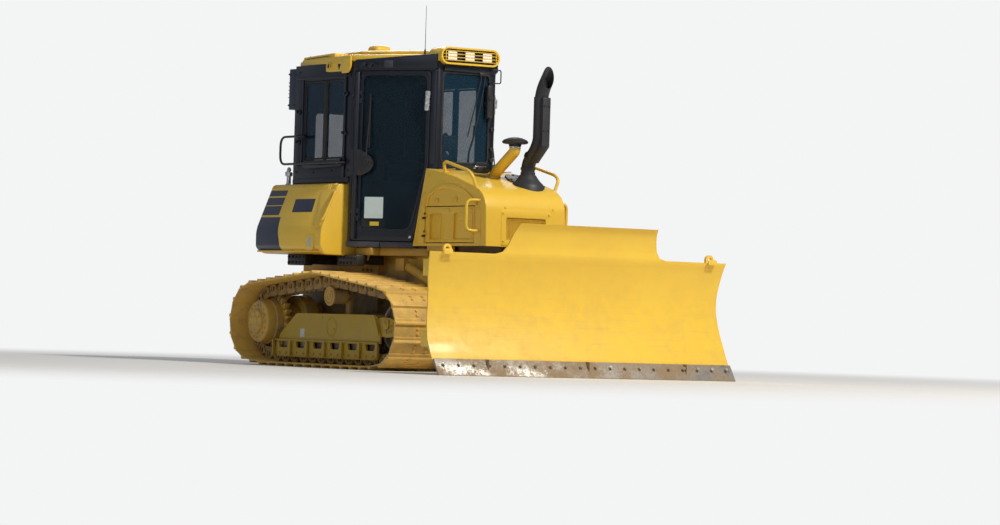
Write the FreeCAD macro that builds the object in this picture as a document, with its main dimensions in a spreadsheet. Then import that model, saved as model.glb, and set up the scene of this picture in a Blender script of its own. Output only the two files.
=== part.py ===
import FreeCAD, Part
import math
import os
import re
import Sketcher

# A full-size crawler bulldozer with wide tracks, an enclosed hexagonal cab and a blade
# that lifts, angles and tilts. Millimetres, +X to the front, +Y to the left, +Z up.
# The origin is on the ground under the middle of the whole machine; "mid" is the middle
# of the tracks, from which every place along the machine is measured.

Vector = FreeCAD.Vector
Rotation = FreeCAD.Rotation
Placement = FreeCAD.Placement

SIZES = [
    # Track chains and shoes
    ("track_gauge", "1650"),
    ("shoe_width", "600"),
    ("shoe_count", "41"),
    ("shoe_plate", "14"),
    ("grouser_rise", "20"),
    ("grouser_thick", "16"),
    ("link_height", "113"),
    ("link_thick", "34"),
    ("link_spread", "62"),
    ("sprocket_back", "1145"),
    ("sprocket_height", "400"),
    ("sprocket_rail", "229"),
    ("sprocket_teeth", "23"),
    ("sprocket_thick", "56"),
    ("idler_ahead", "1090"),
    ("idler_height", "380"),
    ("idler_rail", "223"),
    ("carrier_back", "20"),
    ("carrier_height", "648"),
    ("carrier_rail", "87"),
    ("roller_rail", "70"),
    ("roller_count", "6"),
    ("roller_pitch", "306"),
    ("roller_half", "95"),
    ("roller_shaft", "25"),
    ("flat_half", "880"),
    ("wheel_play", "13"),
    ("roller_play", "0.3"),
    ("hub_radius", "205"),
    ("hub_face", "=track_gauge / 2 + 225"),
    ("drive_case_radius", "190"),
    ("chain_y", "=track_gauge / 2"),
    ("track_inner", "=chain_y - shoe_width / 2"),
    ("rail_level", "=grouser_rise + shoe_plate + link_height"),
    ("roller_height", "=rail_level + roller_rail"),
    # Track frames
    ("beam_half", "105"),
    ("guard_thick", "15"),
    ("roller_window", "77"),
    ("beam_bottom", "300"),
    ("beam_top", "490"),
    ("beam_rear", "600"),
    ("beam_front", "800"),
    ("guard_bottom", "80"),
    ("guard_slope_rear", "880"),
    ("yoke_thick", "22"),
    ("yoke_height", "90"),
    ("cross_tube_radius", "75"),
    ("carrier_post", "40"),
    # Hull
    ("hull_half_front", "=track_inner - 195"),
    ("hull_half_rear", "=track_inner - 125"),
    ("hull_step_back", "50"),
    ("hull_rear", "1400"),
    ("hull_front", "1100"),
    ("hull_bottom", "330"),
    ("hull_top", "1030"),
    ("hull_plate", "20"),
    ("engine_rear", "250"),
    ("engine_front", "1040"),
    ("engine_half", "=hull_half_front - 100"),
    ("engine_seat", "440"),
    ("engine_top", "1440"),
    ("engine_low_top", "1060"),
    ("engine_high_rear", "745"),
    ("engine_high_front", "1480"),
    ("engine_high_bottom", "1130"),
    ("deck_thick", "70"),
    ("deck_half", "560"),
    ("deck_taper_start", "150"),
    ("deck_front", "660"),
    ("deck_front_half", "320"),
    # Drawbar at the rear
    ("drawbar_height", "440"),
    ("drawbar_half", "70"),
    ("drawbar_bore", "36"),
    ("drawbar_reach", "130"),
    ("drawbar_plate", "30"),
    ("drawbar_gap", "80"),
    # Rear tanks and cooling housing
    ("tank_half", "1000"),
    ("tank_top_half", "825"),
    ("tank_crease", "1250"),
    ("tank_rear", "1280"),
    ("tank_front", "90"),
    ("cab_rear_floor", "1680"),
    ("cooler_rear", "1500"),
    ("cooler_front", "1180"),
    ("cooler_wall", "25"),
    ("core_thick", "90"),
    ("fan_radius", "235"),
    ("fan_blades", "7"),
    ("fan_thick", "50"),
    ("fan_gap", "35"),
    ("grille_thick", "40"),
    ("grille_gap", "8"),
    # Cab, six-sided in plan
    ("cab_rear", "1140"),
    ("cab_rear_half", "700"),
    ("cab_wide_back", "40"),
    ("cab_wide_half", "740"),
    ("cab_front", "720"),
    ("cab_front_half", "300"),
    ("cab_floor", "1100"),
    ("cab_step_back", "90"),
    ("cab_top", "2790"),
    ("cab_wall", "40"),
    ("roof_thick", "62"),
    ("roof_overhang", "25"),
    ("roof_rear_inset", "30"),
    ("roof_crown", "48"),
    ("roof_crown_inset", "150"),
    ("door_rear", "25"),
    ("door_front", "800"),
    ("door_foot", "660"),
    ("door_bottom", "1160"),
    ("door_knee", "1800"),
    ("door_top", "2700"),
    ("door_thick", "40"),
    ("door_gap", "6"),
    ("door_frame", "75"),
    ("hinge_radius", "16"),
    ("hinge_pin", "8"),
    ("hinge_height", "60"),
    ("small_hinge_radius", "10"),
    ("small_hinge_pin", "5"),
    ("glass_thick", "6"),
    ("glass_play", "0.3"),
    ("side_pane_bottom", "1925"),
    ("side_pane_top", "2640"),
    ("side_pane_start", "885"),
    ("side_pane_length", "300"),
    ("side_pane_pitch", "400"),
    ("front_pane_half", "245"),
    ("front_pane_bottom", "1880"),
    ("front_pane_top", "2690"),
    ("rear_pane_half", "480"),
    ("rear_pane_bottom", "1860"),
    ("rear_pane_top", "2380"),
    # Roof lamps, beacon dome and aerial
    ("lamp_box_half", "315"),
    ("lamp_box_front", "780"),
    ("lamp_box_rear", "560"),
    ("lamp_box_bottom", "2770"),
    ("lamp_box_top", "2920"),
    ("lamp_room_depth", "52"),
    ("lamp_half", "60"),
    ("lamp_pitch", "185"),
    ("dome_radius", "85"),
    ("dome_side", "400"),
    ("dome_back", "150"),
    ("dome_top", "2958"),
    ("aerial_side", "330"),
    ("aerial_ahead", "525"),
    ("aerial_radius", "4"),
    ("aerial_top", "3300"),
    ("rear_unit_depth", "185"),
    ("rear_unit_half", "=cab_rear_half"),
    ("rear_unit_bottom", "2390"),
    ("rear_unit_top", "2770"),
    # Seat and controls
    ("seat_back", "470"),
    ("seat_half", "250"),
    ("seat_depth", "480"),
    ("seat_base_height", "90"),
    ("cushion_thick", "110"),
    ("backrest_thick", "110"),
    ("backrest_height", "620"),
    ("console_half", "190"),
    ("console_depth", "150"),
    ("console_top", "1840"),
    ("monitor_top", "2060"),
    # Hood
    ("hood_half", "420"),
    ("hood_bottom", "1120"),
    ("hood_front", "1760"),
    ("hood_lean", "20"),
    ("hood_nose_top", "1520"),
    ("hood_nose_set", "130"),
    ("hood_brow", "1625"),
    ("hood_rear_top", "=hood_brow + 190"),
    ("hood_rear", "560"),
    ("hood_wall", "25"),
    ("hood_cab_gap", "12"),
    ("hood_corner", "90"),
    ("side_door_rear", "760"),
    ("side_door_front", "1560"),
    ("side_door_bottom", "1150"),
    ("side_door_top", "1470"),
    ("side_door_gap", "6"),
    ("side_door_thick", "18"),
    ("rail_tube", "14"),
    ("rail_side", "395"),
    ("cab_rail_low", "1870"),
    ("cab_rail_high", "2125"),
    ("cab_rail_rear", "1390"),
    ("grab_tube", "12"),
    ("corner_grab_top", "1520"),
    ("corner_grab_bottom", "1250"),
    ("corner_grab_reach", "125"),
    ("corner_grab_back", "115"),
    # Exhaust and air intake
    ("exhaust_side", "200"),
    ("exhaust_base_ahead", "1460"),
    ("exhaust_ahead", "1637"),
    ("exhaust_radius", "55"),
    ("exhaust_flange", "170"),
    ("exhaust_flange_top", "=hood_brow + 165"),
    ("exhaust_jog_bottom", "=hood_brow + 235"),
    ("exhaust_jog_top", "=hood_brow + 465"),
    ("exhaust_bend", "=hood_brow + 935"),
    ("exhaust_top", "=hood_brow + 1090"),
    ("intake_side", "40"),
    ("intake_ahead", "1190"),
    ("intake_cap_ahead", "1480"),
    ("intake_radius", "48"),
    ("intake_cap_radius", "115"),
    ("intake_cap_bottom", "=hood_rear_top + 225"),
    ("intake_cap_thick", "62"),
    # Push frame
    ("pivot_ahead", "100"),
    ("pivot_height", "420"),
    ("pivot_pin", "40"),
    ("running_fit", "0.08"),
    ("arm_inner", "=track_inner - 165"),
    ("arm_outer", "=track_inner - 55"),
    ("arm_half_height", "85"),
    ("arm_front_height", "355"),
    ("arm_front_half", "75"),
    ("crossbeam_rear", "1620"),
    ("crossbeam_front", "1800"),
    ("crossbeam_bottom", "275"),
    ("crossbeam_top", "400"),
    ("yaw_ahead", "2150"),
    ("yaw_pin", "42"),
    ("nose_radius", "95"),
    ("nose_plate", "25"),
    ("nose_root_half", "185"),
    ("hub_bottom", "300"),
    ("hub_top", "420"),
    ("hub_play", "5"),
    # Yoke between the push frame and the blade
    ("yoke_beam_rear", "2095"),
    ("yoke_beam_front", "2230"),
    ("yoke_beam_half", "540"),
    ("tilt_axis_height", "360"),
    ("tilt_pin", "60"),
    ("tilt_pin_end", "2400"),
    ("tilt_boss_rear", "2290"),
    ("tilt_boss_radius", "105"),
    ("tilt_tower_side", "330"),
    ("tilt_cylinder_height", "720"),
    ("tilt_cylinder_ahead", "2195"),
    ("tilt_reach", "630"),
    # Blade
    ("blade_radius", "950"),
    ("blade_back", "2560"),
    ("blade_waist", "660"),
    ("blade_skin", "14"),
    ("blade_half", "1545"),
    ("blade_waist_half", "=blade_half - 40"),
    ("blade_top", "1035"),
    ("blade_foot", "130"),
    ("blade_guard_top", "1300"),
    ("blade_guard_half", "=blade_half - 830"),
    ("blade_guard_root", "=blade_half - 655"),
    ("edge_height", "165"),
    ("edge_thick", "19"),
    ("edge_floor_gap", "10"),
    ("rib_thick", "25"),
    ("rib_pitch", "=blade_half * 0.313"),
    ("blade_box_depth", "110"),
    ("blade_box_half", "70"),
    ("blade_upper_box", "900"),
    ("blade_lower_box", "300"),
    ("eye_bore", "36"),
    ("eye_radius", "42"),
    ("eye_inset", "175"),
    # Lift cylinders
    ("lift_base_ahead", "450"),
    ("lift_base_height", "950"),
    ("lift_eye_ahead", "1700"),
    ("lift_eye_height", "515"),
    ("lift_y", "=track_inner - 97.5"),
    ("lift_barrel", "42"),
    ("lift_rod", "23"),
    ("lift_barrel_length", "800"),
    ("lift_rod_length", "720"),
    ("lift_eye", "38"),
    ("lift_eye_thick", "36"),
    ("lug_plate", "12"),
    ("lug_play", "11"),
    ("cylinder_pin", "18"),
    # Angle cylinders
    ("angle_base_ahead", "1340"),
    ("angle_base_y", "=arm_inner - 220"),
    ("angle_height", "470"),
    ("angle_eye_ahead", "2180"),
    ("angle_eye_y", "=arm_outer - 10"),
    ("angle_barrel", "34"),
    ("angle_rod", "20"),
    ("angle_barrel_length", "560"),
    ("angle_rod_length", "590"),
    ("angle_eye", "34"),
    ("angle_eye_thick", "36"),
    ("angle_play", "8"),
    ("tie_bottom", "390"),
    ("tie_back", "75"),
    ("tie_ahead", "32"),
    # Tilt cylinder
    ("tilt_barrel", "38"),
    ("tilt_rod", "21"),
    ("tilt_barrel_length", "480"),
    ("tilt_rod_length", "330"),
    ("tilt_eye", "34"),
    ("tilt_eye_thick", "44"),
    ("neck_length", "75"),
    # Worked out from the sizes above
    ("blade_centre", "=blade_back + blade_radius"),
    ("foot_drop", "=blade_waist - blade_foot"),
    ("foot_ahead", "=blade_centre - sqrt(blade_radius ^ 2 - foot_drop ^ 2)"),
    ("edge_lean", "=foot_drop / blade_radius"),
    ("edge_upright", "=sqrt(1 - edge_lean ^ 2)"),
    ("edge_run", "=edge_height * edge_lean"),
    ("edge_drop", "=edge_height * edge_upright"),
    ("edge_tip", "=foot_ahead + edge_run + edge_thick * edge_upright"),
    ("guard_rise", "=blade_guard_top - blade_top"),
    ("guard_run", "=blade_guard_root - blade_guard_half"),
    ("guard_lean", "=blade_guard_top - blade_waist"),
    ("guard_ahead", "=blade_centre - sqrt(blade_radius ^ 2 - guard_lean ^ 2)"),
    ("front_reach", "=max(edge_tip; guard_ahead)"),
    ("cooler_middle", "=(hull_top + deck_thick + cab_rear_floor) / 2"),
    ("drawbar_end", "=hull_rear + drawbar_reach"),
    ("grille_end", "=cooler_rear + 2 * small_hinge_radius"),
    ("rear_reach", "=max(drawbar_end; grille_end)"),
    ("mid", "=(rear_reach - front_reach) / 2"),
    ("lift_dx", "=lift_eye_ahead - lift_base_ahead"),
    ("lift_dz", "=lift_base_height - lift_eye_height"),
    ("lift_reach", "=hypot(lift_dx; lift_dz)"),
    ("lift_slope", "=atan(lift_dz / lift_dx)"),
    ("angle_dx", "=angle_eye_ahead - angle_base_ahead"),
    ("angle_dy", "=angle_eye_y - angle_base_y"),
    ("angle_reach", "=hypot(angle_dx; angle_dy)"),
    ("angle_slope", "=atan(angle_dy / angle_dx)"),
    ("door_dx", "=cab_wide_back + cab_front"),
    ("door_dy", "=cab_wide_half - cab_front_half"),
    ("door_plane", "=hypot(door_dx; door_dy)"),
    ("door_turn", "=atan(door_dy / door_dx)"),
    ("door_lean", "=door_dy / door_dx"),
    ("side_lean", "=(cab_wide_half - cab_rear_half) / (cab_rear - cab_wide_back)"),
    ("door_wall", "=cab_wall * sqrt(1 + door_lean ^ 2)"),
    ("side_wall", "=cab_wall * sqrt(1 + side_lean ^ 2)"),
    ("cab_inner_shift", "=(side_wall - door_wall) / (side_lean + door_lean)"),
    ("cab_inner_wide", "=cab_wide_half - side_wall + side_lean * cab_inner_shift"),
    ("cab_inner_front", "=cab_front_half - door_wall + door_lean * cab_wall"),
    ("cab_inner_rear", "=cab_rear_half - side_wall + side_lean * cab_wall"),
]

doc = FreeCAD.newDocument("Bulldozer")
sheet = doc.addObject("Spreadsheet::Sheet", "dims")
for row, (alias, content) in enumerate(SIZES, start=1):
    sheet.set(f"A{row}", alias)
    sheet.set(f"B{row}", content)
    sheet.setAlias(f"B{row}", alias)
doc.recompute()

FUNCTIONS = {"sin", "cos", "tan", "sqrt", "atan", "hypot", "min", "max", "abs"}


def bound(expression):
    """The expression with each size named in it pointed at the sheet."""
    return re.sub(
        r"[a-z][a-z0-9_]*",
        lambda word: word.group() if word.group() in FUNCTIONS else "dims." + word.group(),
        str(expression),
    )


def size(expression):
    """The number that an expression on the sheet's sizes gives."""
    value = doc.dims.evalExpression(str(expression))
    return float(getattr(value, "Value", value))


def set_to(item, prop, expression):
    item.setExpression(prop, bound(expression))


# The ways in which pieces are made: plates and prisms from an outline, boxes, round bars,
# and their unions, cuts and mirror images.


def prism(label, plane, corners, low, high):
    """A straight-sided body: an outline on an origin plane, padded from low to high."""
    body = doc.addObject("PartDesign::Body", label)
    sketch = body.newObject("Sketcher::SketchObject", label + "_outline")
    face = [item for item in body.Origin.OriginFeatures if item.Role == plane + "_Plane"][0]
    sketch.AttachmentSupport = [(face, "")]
    sketch.MapMode = "FlatFace"
    points = [Vector(size(across), size(along), 0) for across, along in corners]
    for start, end in zip(points, points[1:] + points[:1]):
        sketch.addGeometry(Part.LineSegment(start, end), False)
    count = len(points)
    for side in range(count):
        sketch.addConstraint(Sketcher.Constraint("Coincident", side, 2, (side + 1) % count, 1))
    for side, (across, along) in enumerate(corners):
        for kind, expression in (("DistanceX", across), ("DistanceY", along)):
            value = size(expression)
            index = sketch.addConstraint(Sketcher.Constraint(kind, -1, 1, side, 1, value))
            set_to(sketch, f"Constraints[{index}]", expression)
    # The XZ plane faces -Y, so its outline starts at the high side.
    start = f"-({high})" if plane == "XZ" else low
    set_to(sketch, "AttachmentOffset.Base.z", start)
    pad = body.newObject("PartDesign::Pad", label + "_pad")
    pad.Profile = sketch
    set_to(pad, "Length", f"({high}) - ({low})")
    return body


def box(label, x_range, y_range, z_range):
    """A rectangular block between three pairs of places."""
    block = doc.addObject("Part::Box", label)
    for prop, axis, (low, high) in zip(
        ("Length", "Width", "Height"), "xyz", (x_range, y_range, z_range)
    ):
        set_to(block, prop, f"({high}) - ({low})")
        set_to(block, "Placement.Base." + axis, low)
    return block


AXIS_TURNS = {
    "x": Rotation(Vector(0, 1, 0), 90),
    "y": Rotation(Vector(1, 0, 0), -90),
    "z": Rotation(),
}


def bar(label, axis, centre, radius, low, high):
    """A round bar along x, y or z; centre gives its two other coordinates in order."""
    cylinder = doc.addObject("Part::Cylinder", label)
    cylinder.Placement = Placement(Vector(), AXIS_TURNS[axis])
    others = [name for name in "xyz" if name != axis]
    for name, expression in zip(others, centre):
        set_to(cylinder, "Placement.Base." + name, expression)
    set_to(cylinder, "Placement.Base." + axis, low)
    set_to(cylinder, "Radius", radius)
    set_to(cylinder, "Height", f"({high}) - ({low})")
    return cylinder


def join(label, pieces):
    union = doc.addObject("Part::MultiFuse", label)
    union.Shapes = pieces
    union.Refine = True
    return union


def cut(label, base, tools):
    """The base with every tool taken out of it."""
    result = doc.addObject("Part::Cut", label)
    result.Base = base
    result.Tool = tools[0] if len(tools) == 1 else join(label + "_tools", tools)
    result.Refine = True
    return result


def mirror(label, source):
    """The left-hand twin of a right-hand piece."""
    twin = doc.addObject("Part::Mirroring", label)
    twin.Source = source
    twin.Normal = Vector(0, 1, 0)
    return twin


def pair(label, source):
    """A right-hand piece and its twin, as one item."""
    return join(label, [source, mirror(label + "_twin", source)])


def place(item, base, axis, angle):
    """Set an item down at base, turned about one axis by a bound angle."""
    item.Placement = Placement(Vector(), Rotation(axis, 10))
    for name, expression in zip("xyz", base):
        set_to(item, "Placement.Base." + name, expression)
    set_to(item, "Placement.Rotation.Angle", angle)
    return item


def tube_path(label, corners, plane_y, radius, bend):
    """A round tube through points of an upright plane, with each corner bent by an arc."""
    points = [Vector(size(x), size(plane_y), size(z)) for x, z in corners]
    return bent_tube(label, points, size(radius), size(bend))


def bent_tube(label, points, radius, bend):
    edges = []
    start = points[0]
    for before, corner, after in zip(points, points[1:], points[2:]):
        back = (before - corner).normalize()
        ahead = (after - corner).normalize()
        half = back.getAngle(ahead) / 2
        reach = bend / math.tan(half)
        entry = corner + back * reach
        leave = corner + ahead * reach
        middle = (back + ahead).normalize()
        crown = corner + middle * (bend / math.sin(half) - bend)
        edges.append(Part.LineSegment(start, entry).toShape())
        edges.append(Part.Arc(entry, crown, leave).toShape())
        start = leave
    edges.append(Part.LineSegment(start, points[-1]).toShape())
    path = Part.Wire(edges)
    ring = Part.Wire([Part.makeCircle(radius, points[0], points[1] - points[0])])
    tube = doc.addObject("Part::Feature", label)
    tube.Shape = path.makePipeShell([ring], True, False)
    return tube


def hinge(label, base, angle, edge, reach, heights, radius, pin):
    """Hinges on an upright axis just outside a door's face, one at each height.

    Worked out with the door lying along x and its inside at +y, then turned into place.
    Returns what is fixed to the frame and what is fixed to the door.
    """
    frame_side = []
    door_side = []
    axis_spot = (edge, f"-({radius})")
    for index, height in enumerate(heights):
        low = f"({height}) - hinge_height / 2"
        high = f"({height}) + hinge_height / 2"
        third = "hinge_height / 3"
        name = f"{label}_{index}"
        frame_side.append(bar(name + "_pin", "z", axis_spot, pin, low, high))
        frame_side.append(bar(name + "_root", "z", axis_spot, radius, low, f"{low} + {third} - 1"))
        frame_side.append(box(name + "_plate", (f"{edge} - ({reach})", edge),
                              (f"-({radius})", "-0.1"), (low, f"{low} + {third} - 1")))
        ring = join(name + "_knuckle", [
            bar(name + "_ring", "z", axis_spot, radius, f"{low} + {third}", high),
            box(name + "_strap", (edge, f"{edge} + ({radius}) * 5"), (f"-({radius})", "0"),
                (f"{low} + {third}", high)),
        ])
        bore = bar(name + "_bore", "z", axis_spot, f"({pin}) + running_fit", f"{low} - 5", f"{high} + 5")
        door_side.append(cut(name + "_bored", ring, [bore]))
    placed = []
    for kind, pieces in (("frame", frame_side), ("door", door_side)):
        placed.append(place(join(f"{label}_{kind}", pieces), base, Vector(0, 0, 1), angle))
    return placed


nodes = {}


def node(name, item):
    """Name an item as one finished piece of the machine."""
    item.Label = name
    nodes[name] = item


# Track loops. The belt of shoe plates runs round the sprocket, the carrier roller and the
# idler, and flat along the ground. Its outline has one plate and one grouser bar per link.

TRACK_WHEELS = [
    # place along the machine, height, rail radius
    ("mid + flat_half", "roller_height", "roller_rail"),
    ("mid + idler_ahead", "idler_height", "idler_rail"),
    ("mid - carrier_back", "carrier_height", "carrier_rail"),
    ("mid - sprocket_back", "sprocket_height", "sprocket_rail"),
    ("mid - flat_half", "roller_height", "roller_rail"),
]


def belt_wire():
    """The line of the shoes' inner faces, tangent to every wheel, anticlockwise in XZ."""
    rings = []
    for x, z, rail in TRACK_WHEELS:
        rings.append((Vector(size(x), 0, size(z)), size(rail) + size("link_height")))
    tangents = []
    for (start, start_radius), (end, end_radius) in zip(rings, rings[1:] + rings[:1]):
        run = end - start
        along = Vector(run).normalize()
        side = Vector(along.z, 0, -along.x)
        lean = (start_radius - end_radius) / run.Length
        outward = along * lean + side * math.sqrt(1 - lean * lean)
        tangents.append((start + outward * start_radius, end + outward * end_radius, outward))
    edges = []
    for index, (leave, arrive, outward) in enumerate(tangents):
        edges.append(Part.LineSegment(leave, arrive).toShape())
        following = tangents[(index + 1) % len(tangents)]
        centre, radius = rings[(index + 1) % len(rings)]
        crown = centre + (outward + following[2]).normalize() * radius
        edges.append(Part.Arc(arrive, crown, following[0]).toShape())
    return Part.Wire(edges)


def closed_face(points):
    return Part.Face(Part.makePolygon(points + points[:1]))


def offset_loop(points, distance):
    """The loop moved inwards by a distance, corner by corner."""
    moved = []
    count = len(points)
    for index, corner in enumerate(points):
        back = (corner - points[index - 1]).normalize()
        ahead = (points[(index + 1) % count] - corner).normalize()
        inward = Vector(-back.z, 0, back.x) + Vector(-ahead.z, 0, ahead.x)
        inward.normalize()
        stretch = 1 / inward.dot(Vector(-back.z, 0, back.x))
        moved.append(corner + inward * (distance * stretch))
    return moved


def track_loop():
    """One endless track about y = 0: shoes with grousers, and two rows of links."""
    count = int(size("shoe_count"))
    belt = belt_wire()
    joints = belt.discretize(Number=count + 1)[:count]
    if (joints[1] - joints[0]).x < 0 and joints[0].z < size("roller_height"):
        joints.reverse()
    plate = size("shoe_plate")
    rise = size("grouser_rise")
    outline = []
    for index, start in enumerate(joints):
        end = joints[(index + 1) % count]
        along = (end - start).normalize()
        outward = Vector(along.z, 0, -along.x)
        pitch = (end - start).Length
        bar_start = pitch * 0.7
        bar_end = bar_start + size("grouser_thick")
        lip = pitch * 0.02
        outline.append(start + along * lip + outward * plate)
        outline.append(start + along * bar_start + outward * plate)
        outline.append(start + along * bar_start + outward * (plate + rise))
        outline.append(start + along * bar_end + outward * (plate + rise))
        outline.append(start + along * bar_end + outward * plate)
        outline.append(end - along * lip + outward * plate)
    half = size("shoe_width") / 2
    shoes = closed_face(outline).cut(closed_face(joints))
    shoes = shoes.extrude(Vector(0, 2 * half, 0))
    shoes.translate(Vector(0, -half, 0))
    rails = closed_face(joints).cut(closed_face(offset_loop(joints, size("link_height"))))
    thick = size("link_thick")
    rows = []
    for side in (-1, 1):
        row = rails.extrude(Vector(0, thick, 0))
        row.translate(Vector(0, side * size("link_spread") - thick / 2, 0))
        rows.append(row)
    return shoes.fuse(rows).removeSplitter()


for side_name, side in (("right", -1), ("left", 1)):
    loop = doc.addObject("Part::Feature", "track_" + side_name)
    loop.Shape = track_loop()
    loop.Placement = Placement(Vector(0, side * size("chain_y"), 0), Rotation())
    node("track_" + side_name, loop)


# Sprockets: a toothed rim on the final drive, with the round bolted hub cover outside it.


def toothed_rim():
    count = int(size("sprocket_teeth"))
    root = size("sprocket_rail - wheel_play - 12")
    tip = size("sprocket_rail + link_height * 0.3")
    outline = []
    for tooth in range(count):
        for share, radius in ((0.0, root), (0.3, root), (0.55, tip), (0.75, tip)):
            angle = 2 * math.pi * (tooth + share) / count
            outline.append(Vector(radius * math.cos(angle), 0, radius * math.sin(angle)))
    return closed_face(outline).extrude(Vector(0, size("sprocket_thick"), 0))


SPROCKET = ("mid - sprocket_back", "sprocket_height")
rim = doc.addObject("Part::Feature", "sprocket_rim")
rim.Shape = toothed_rim()
rim.Placement = Placement(
    Vector(size(SPROCKET[0]), -size("chain_y + sprocket_thick / 2"), size(SPROCKET[1])), Rotation()
)
hub_cover = bar("hub_cover", "y", SPROCKET, "hub_radius", "-hub_face", "-chain_y")
hub_cap = bar("hub_cap", "y", SPROCKET, "hub_radius * 0.45", "-hub_face - 18", "-hub_face")
node("sprockets", pair("sprocket_pair", join("sprocket", [rim, hub_cover, hub_cap])))

drive_case = bar(
    "drive_case", "y", SPROCKET, "drive_case_radius",
    "-(chain_y - sprocket_thick / 2 - 0.3)", "-hull_half_rear",
)
node("final_drives", pair("drive_case_pair", drive_case))

# Idlers: a rimmed wheel with a centre flange that runs between the links.

IDLER = ("mid + idler_ahead", "idler_height")
idler_tread = bar(
    "idler_tread", "y", IDLER, "idler_rail - wheel_play", "-chain_y - 80", "-chain_y + 80"
)
idler_flange = bar(
    "idler_flange", "y", IDLER, "idler_rail + 12", "-chain_y - 36", "-chain_y + 36"
)
idler_hub = bar(
    "idler_hub", "y", IDLER, "70", "-chain_y - beam_half + yoke_thick",
    "-chain_y + beam_half - yoke_thick",
)
node("idlers", pair("idler_pair", join("idler", [idler_tread, idler_flange, idler_hub])))

# Track rollers under each frame, and the carrier roller that holds the upper run.

rollers = []
for index in range(int(size("roller_count"))):
    spot = (f"mid + ({index} - (roller_count - 1) / 2) * roller_pitch", "roller_height")
    rollers.append(
        join(f"roller_{index}", [
            bar(f"roller_drum_{index}", "y", spot, "roller_rail - roller_play",
                "-chain_y - roller_half", "-chain_y + roller_half"),
            bar(f"roller_shaft_{index}", "y", spot, "roller_shaft",
                "-chain_y - beam_half", "-chain_y + beam_half"),
        ])
    )
CARRIER = ("mid - carrier_back", "carrier_height")
rollers.append(
    join("carrier", [
        bar("carrier_drum", "y", CARRIER, "carrier_rail - 18", "-chain_y - 75",
            "-chain_y + roller_half"),
        bar("carrier_shaft", "y", CARRIER, "30", "-chain_y", "-chain_y + beam_half"),
    ])
)
node("track_rollers", pair("roller_set", join("roller_row", rollers)))

# Track frames: a box beam over the rollers, a guard plate each side of them, the idler's
# yoke in front, and the tubes that carry the frame from the hull.

GUARD_OUTLINE = [
    ("mid - guard_slope_rear", "guard_bottom"),
    ("mid + beam_front + 60", "guard_bottom"),
    ("mid + beam_front + 60", "beam_bottom - 60"),
    ("mid + beam_front", "beam_bottom"),
    ("mid + beam_front", "beam_top"),
    ("mid - beam_rear", "beam_top"),
    ("mid - guard_slope_rear", "beam_bottom - 80"),
]
BEAM_OUTLINE = [
    ("mid - guard_slope_rear + 60", "beam_bottom"),
    ("mid + beam_front", "beam_bottom"),
    ("mid + beam_front", "beam_top"),
    ("mid - beam_rear", "beam_top"),
]
frame_beam = prism(
    "frame_beam", "XZ", BEAM_OUTLINE, "-chain_y - beam_half", "-chain_y + beam_half"
)
outer_guard = prism(
    "outer_guard", "XZ", GUARD_OUTLINE, "-chain_y - beam_half - guard_thick",
    "-chain_y - beam_half",
)
inner_guard = prism(
    "inner_guard", "XZ", GUARD_OUTLINE, "-chain_y + beam_half",
    "-chain_y + beam_half + guard_thick",
)
guard_windows = [
    box(f"guard_window_{index}",
        (f"mid + ({index} - (roller_count - 1) / 2) * roller_pitch - roller_window",
         f"mid + ({index} - (roller_count - 1) / 2) * roller_pitch + roller_window"),
        ("-chain_y - beam_half - guard_thick - 1", "-chain_y + beam_half + guard_thick + 1"),
        ("beam_bottom - 135", "beam_bottom - 75"))
    for index in range(int(size("roller_count")))
]
outer_guard = cut("outer_guard_windows", outer_guard, guard_windows)
inner_guard = cut("inner_guard_windows", inner_guard, guard_windows)
yoke_range = ("mid + beam_front", "mid + idler_ahead + yoke_height")
yoke_heights = ("idler_height - yoke_height", "idler_height + yoke_height")
outer_yoke = box(
    "outer_yoke", yoke_range, ("-chain_y - beam_half", "-chain_y - beam_half + yoke_thick"),
    yoke_heights,
)
inner_yoke = box(
    "inner_yoke", yoke_range, ("-chain_y + beam_half - yoke_thick", "-chain_y + beam_half"),
    yoke_heights,
)
carrier_post = box(
    "carrier_post_block", ("mid - carrier_back - carrier_post", "mid - carrier_back + carrier_post"),
    ("-chain_y + beam_half", "-chain_y + beam_half + carrier_post"),
    ("beam_top - 60", "carrier_height + carrier_post"),
)
cross_tubes = [
    bar(f"cross_tube_{name}", "y", (f"mid - {back}", "beam_bottom + 95"), "cross_tube_radius",
        "-chain_y + beam_half", inner)
    for name, back, inner in (("rear", "750", "-hull_half_rear"), ("front", "150", "-hull_half_rear"))
]
track_frame = join(
    "track_frame",
    [frame_beam, outer_guard, inner_guard, outer_yoke, inner_yoke, carrier_post] + cross_tubes,
)
node("track_frames", pair("track_frame_pair", track_frame))

# Hull: a welded tub, wide behind and narrow in front between the push arms, with an open
# engine bay, the lift cylinders' brackets and the push frame's pivot pins.

hull_rear_block = box(
    "hull_rear_block", ("mid - hull_rear", "mid - hull_step_back"),
    ("-hull_half_rear", "hull_half_rear"), ("hull_bottom", "hull_top"),
)
hull_front_block = box(
    "hull_front_block", ("mid - hull_step_back", "mid + hull_front"),
    ("-hull_half_front", "hull_half_front"), ("hull_bottom", "hull_top"),
)
engine_bay = box(
    "engine_bay", ("mid + engine_rear - 60", "mid + hull_front - hull_plate"),
    ("-hull_half_front + hull_plate", "hull_half_front - hull_plate"),
    ("hull_bottom + hull_plate", "hull_top"),
)
hull_shell = cut("hull_shell", join("hull_blocks", [hull_rear_block, hull_front_block]), [engine_bay])
engine_rails = [
    box(f"engine_rail_{name}", ("mid + engine_rear", "mid + engine_front"), sides,
        ("hull_bottom + hull_plate", "engine_seat"))
    for name, sides in (("right", ("-180", "-120")), ("left", ("120", "180")))
]


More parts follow.
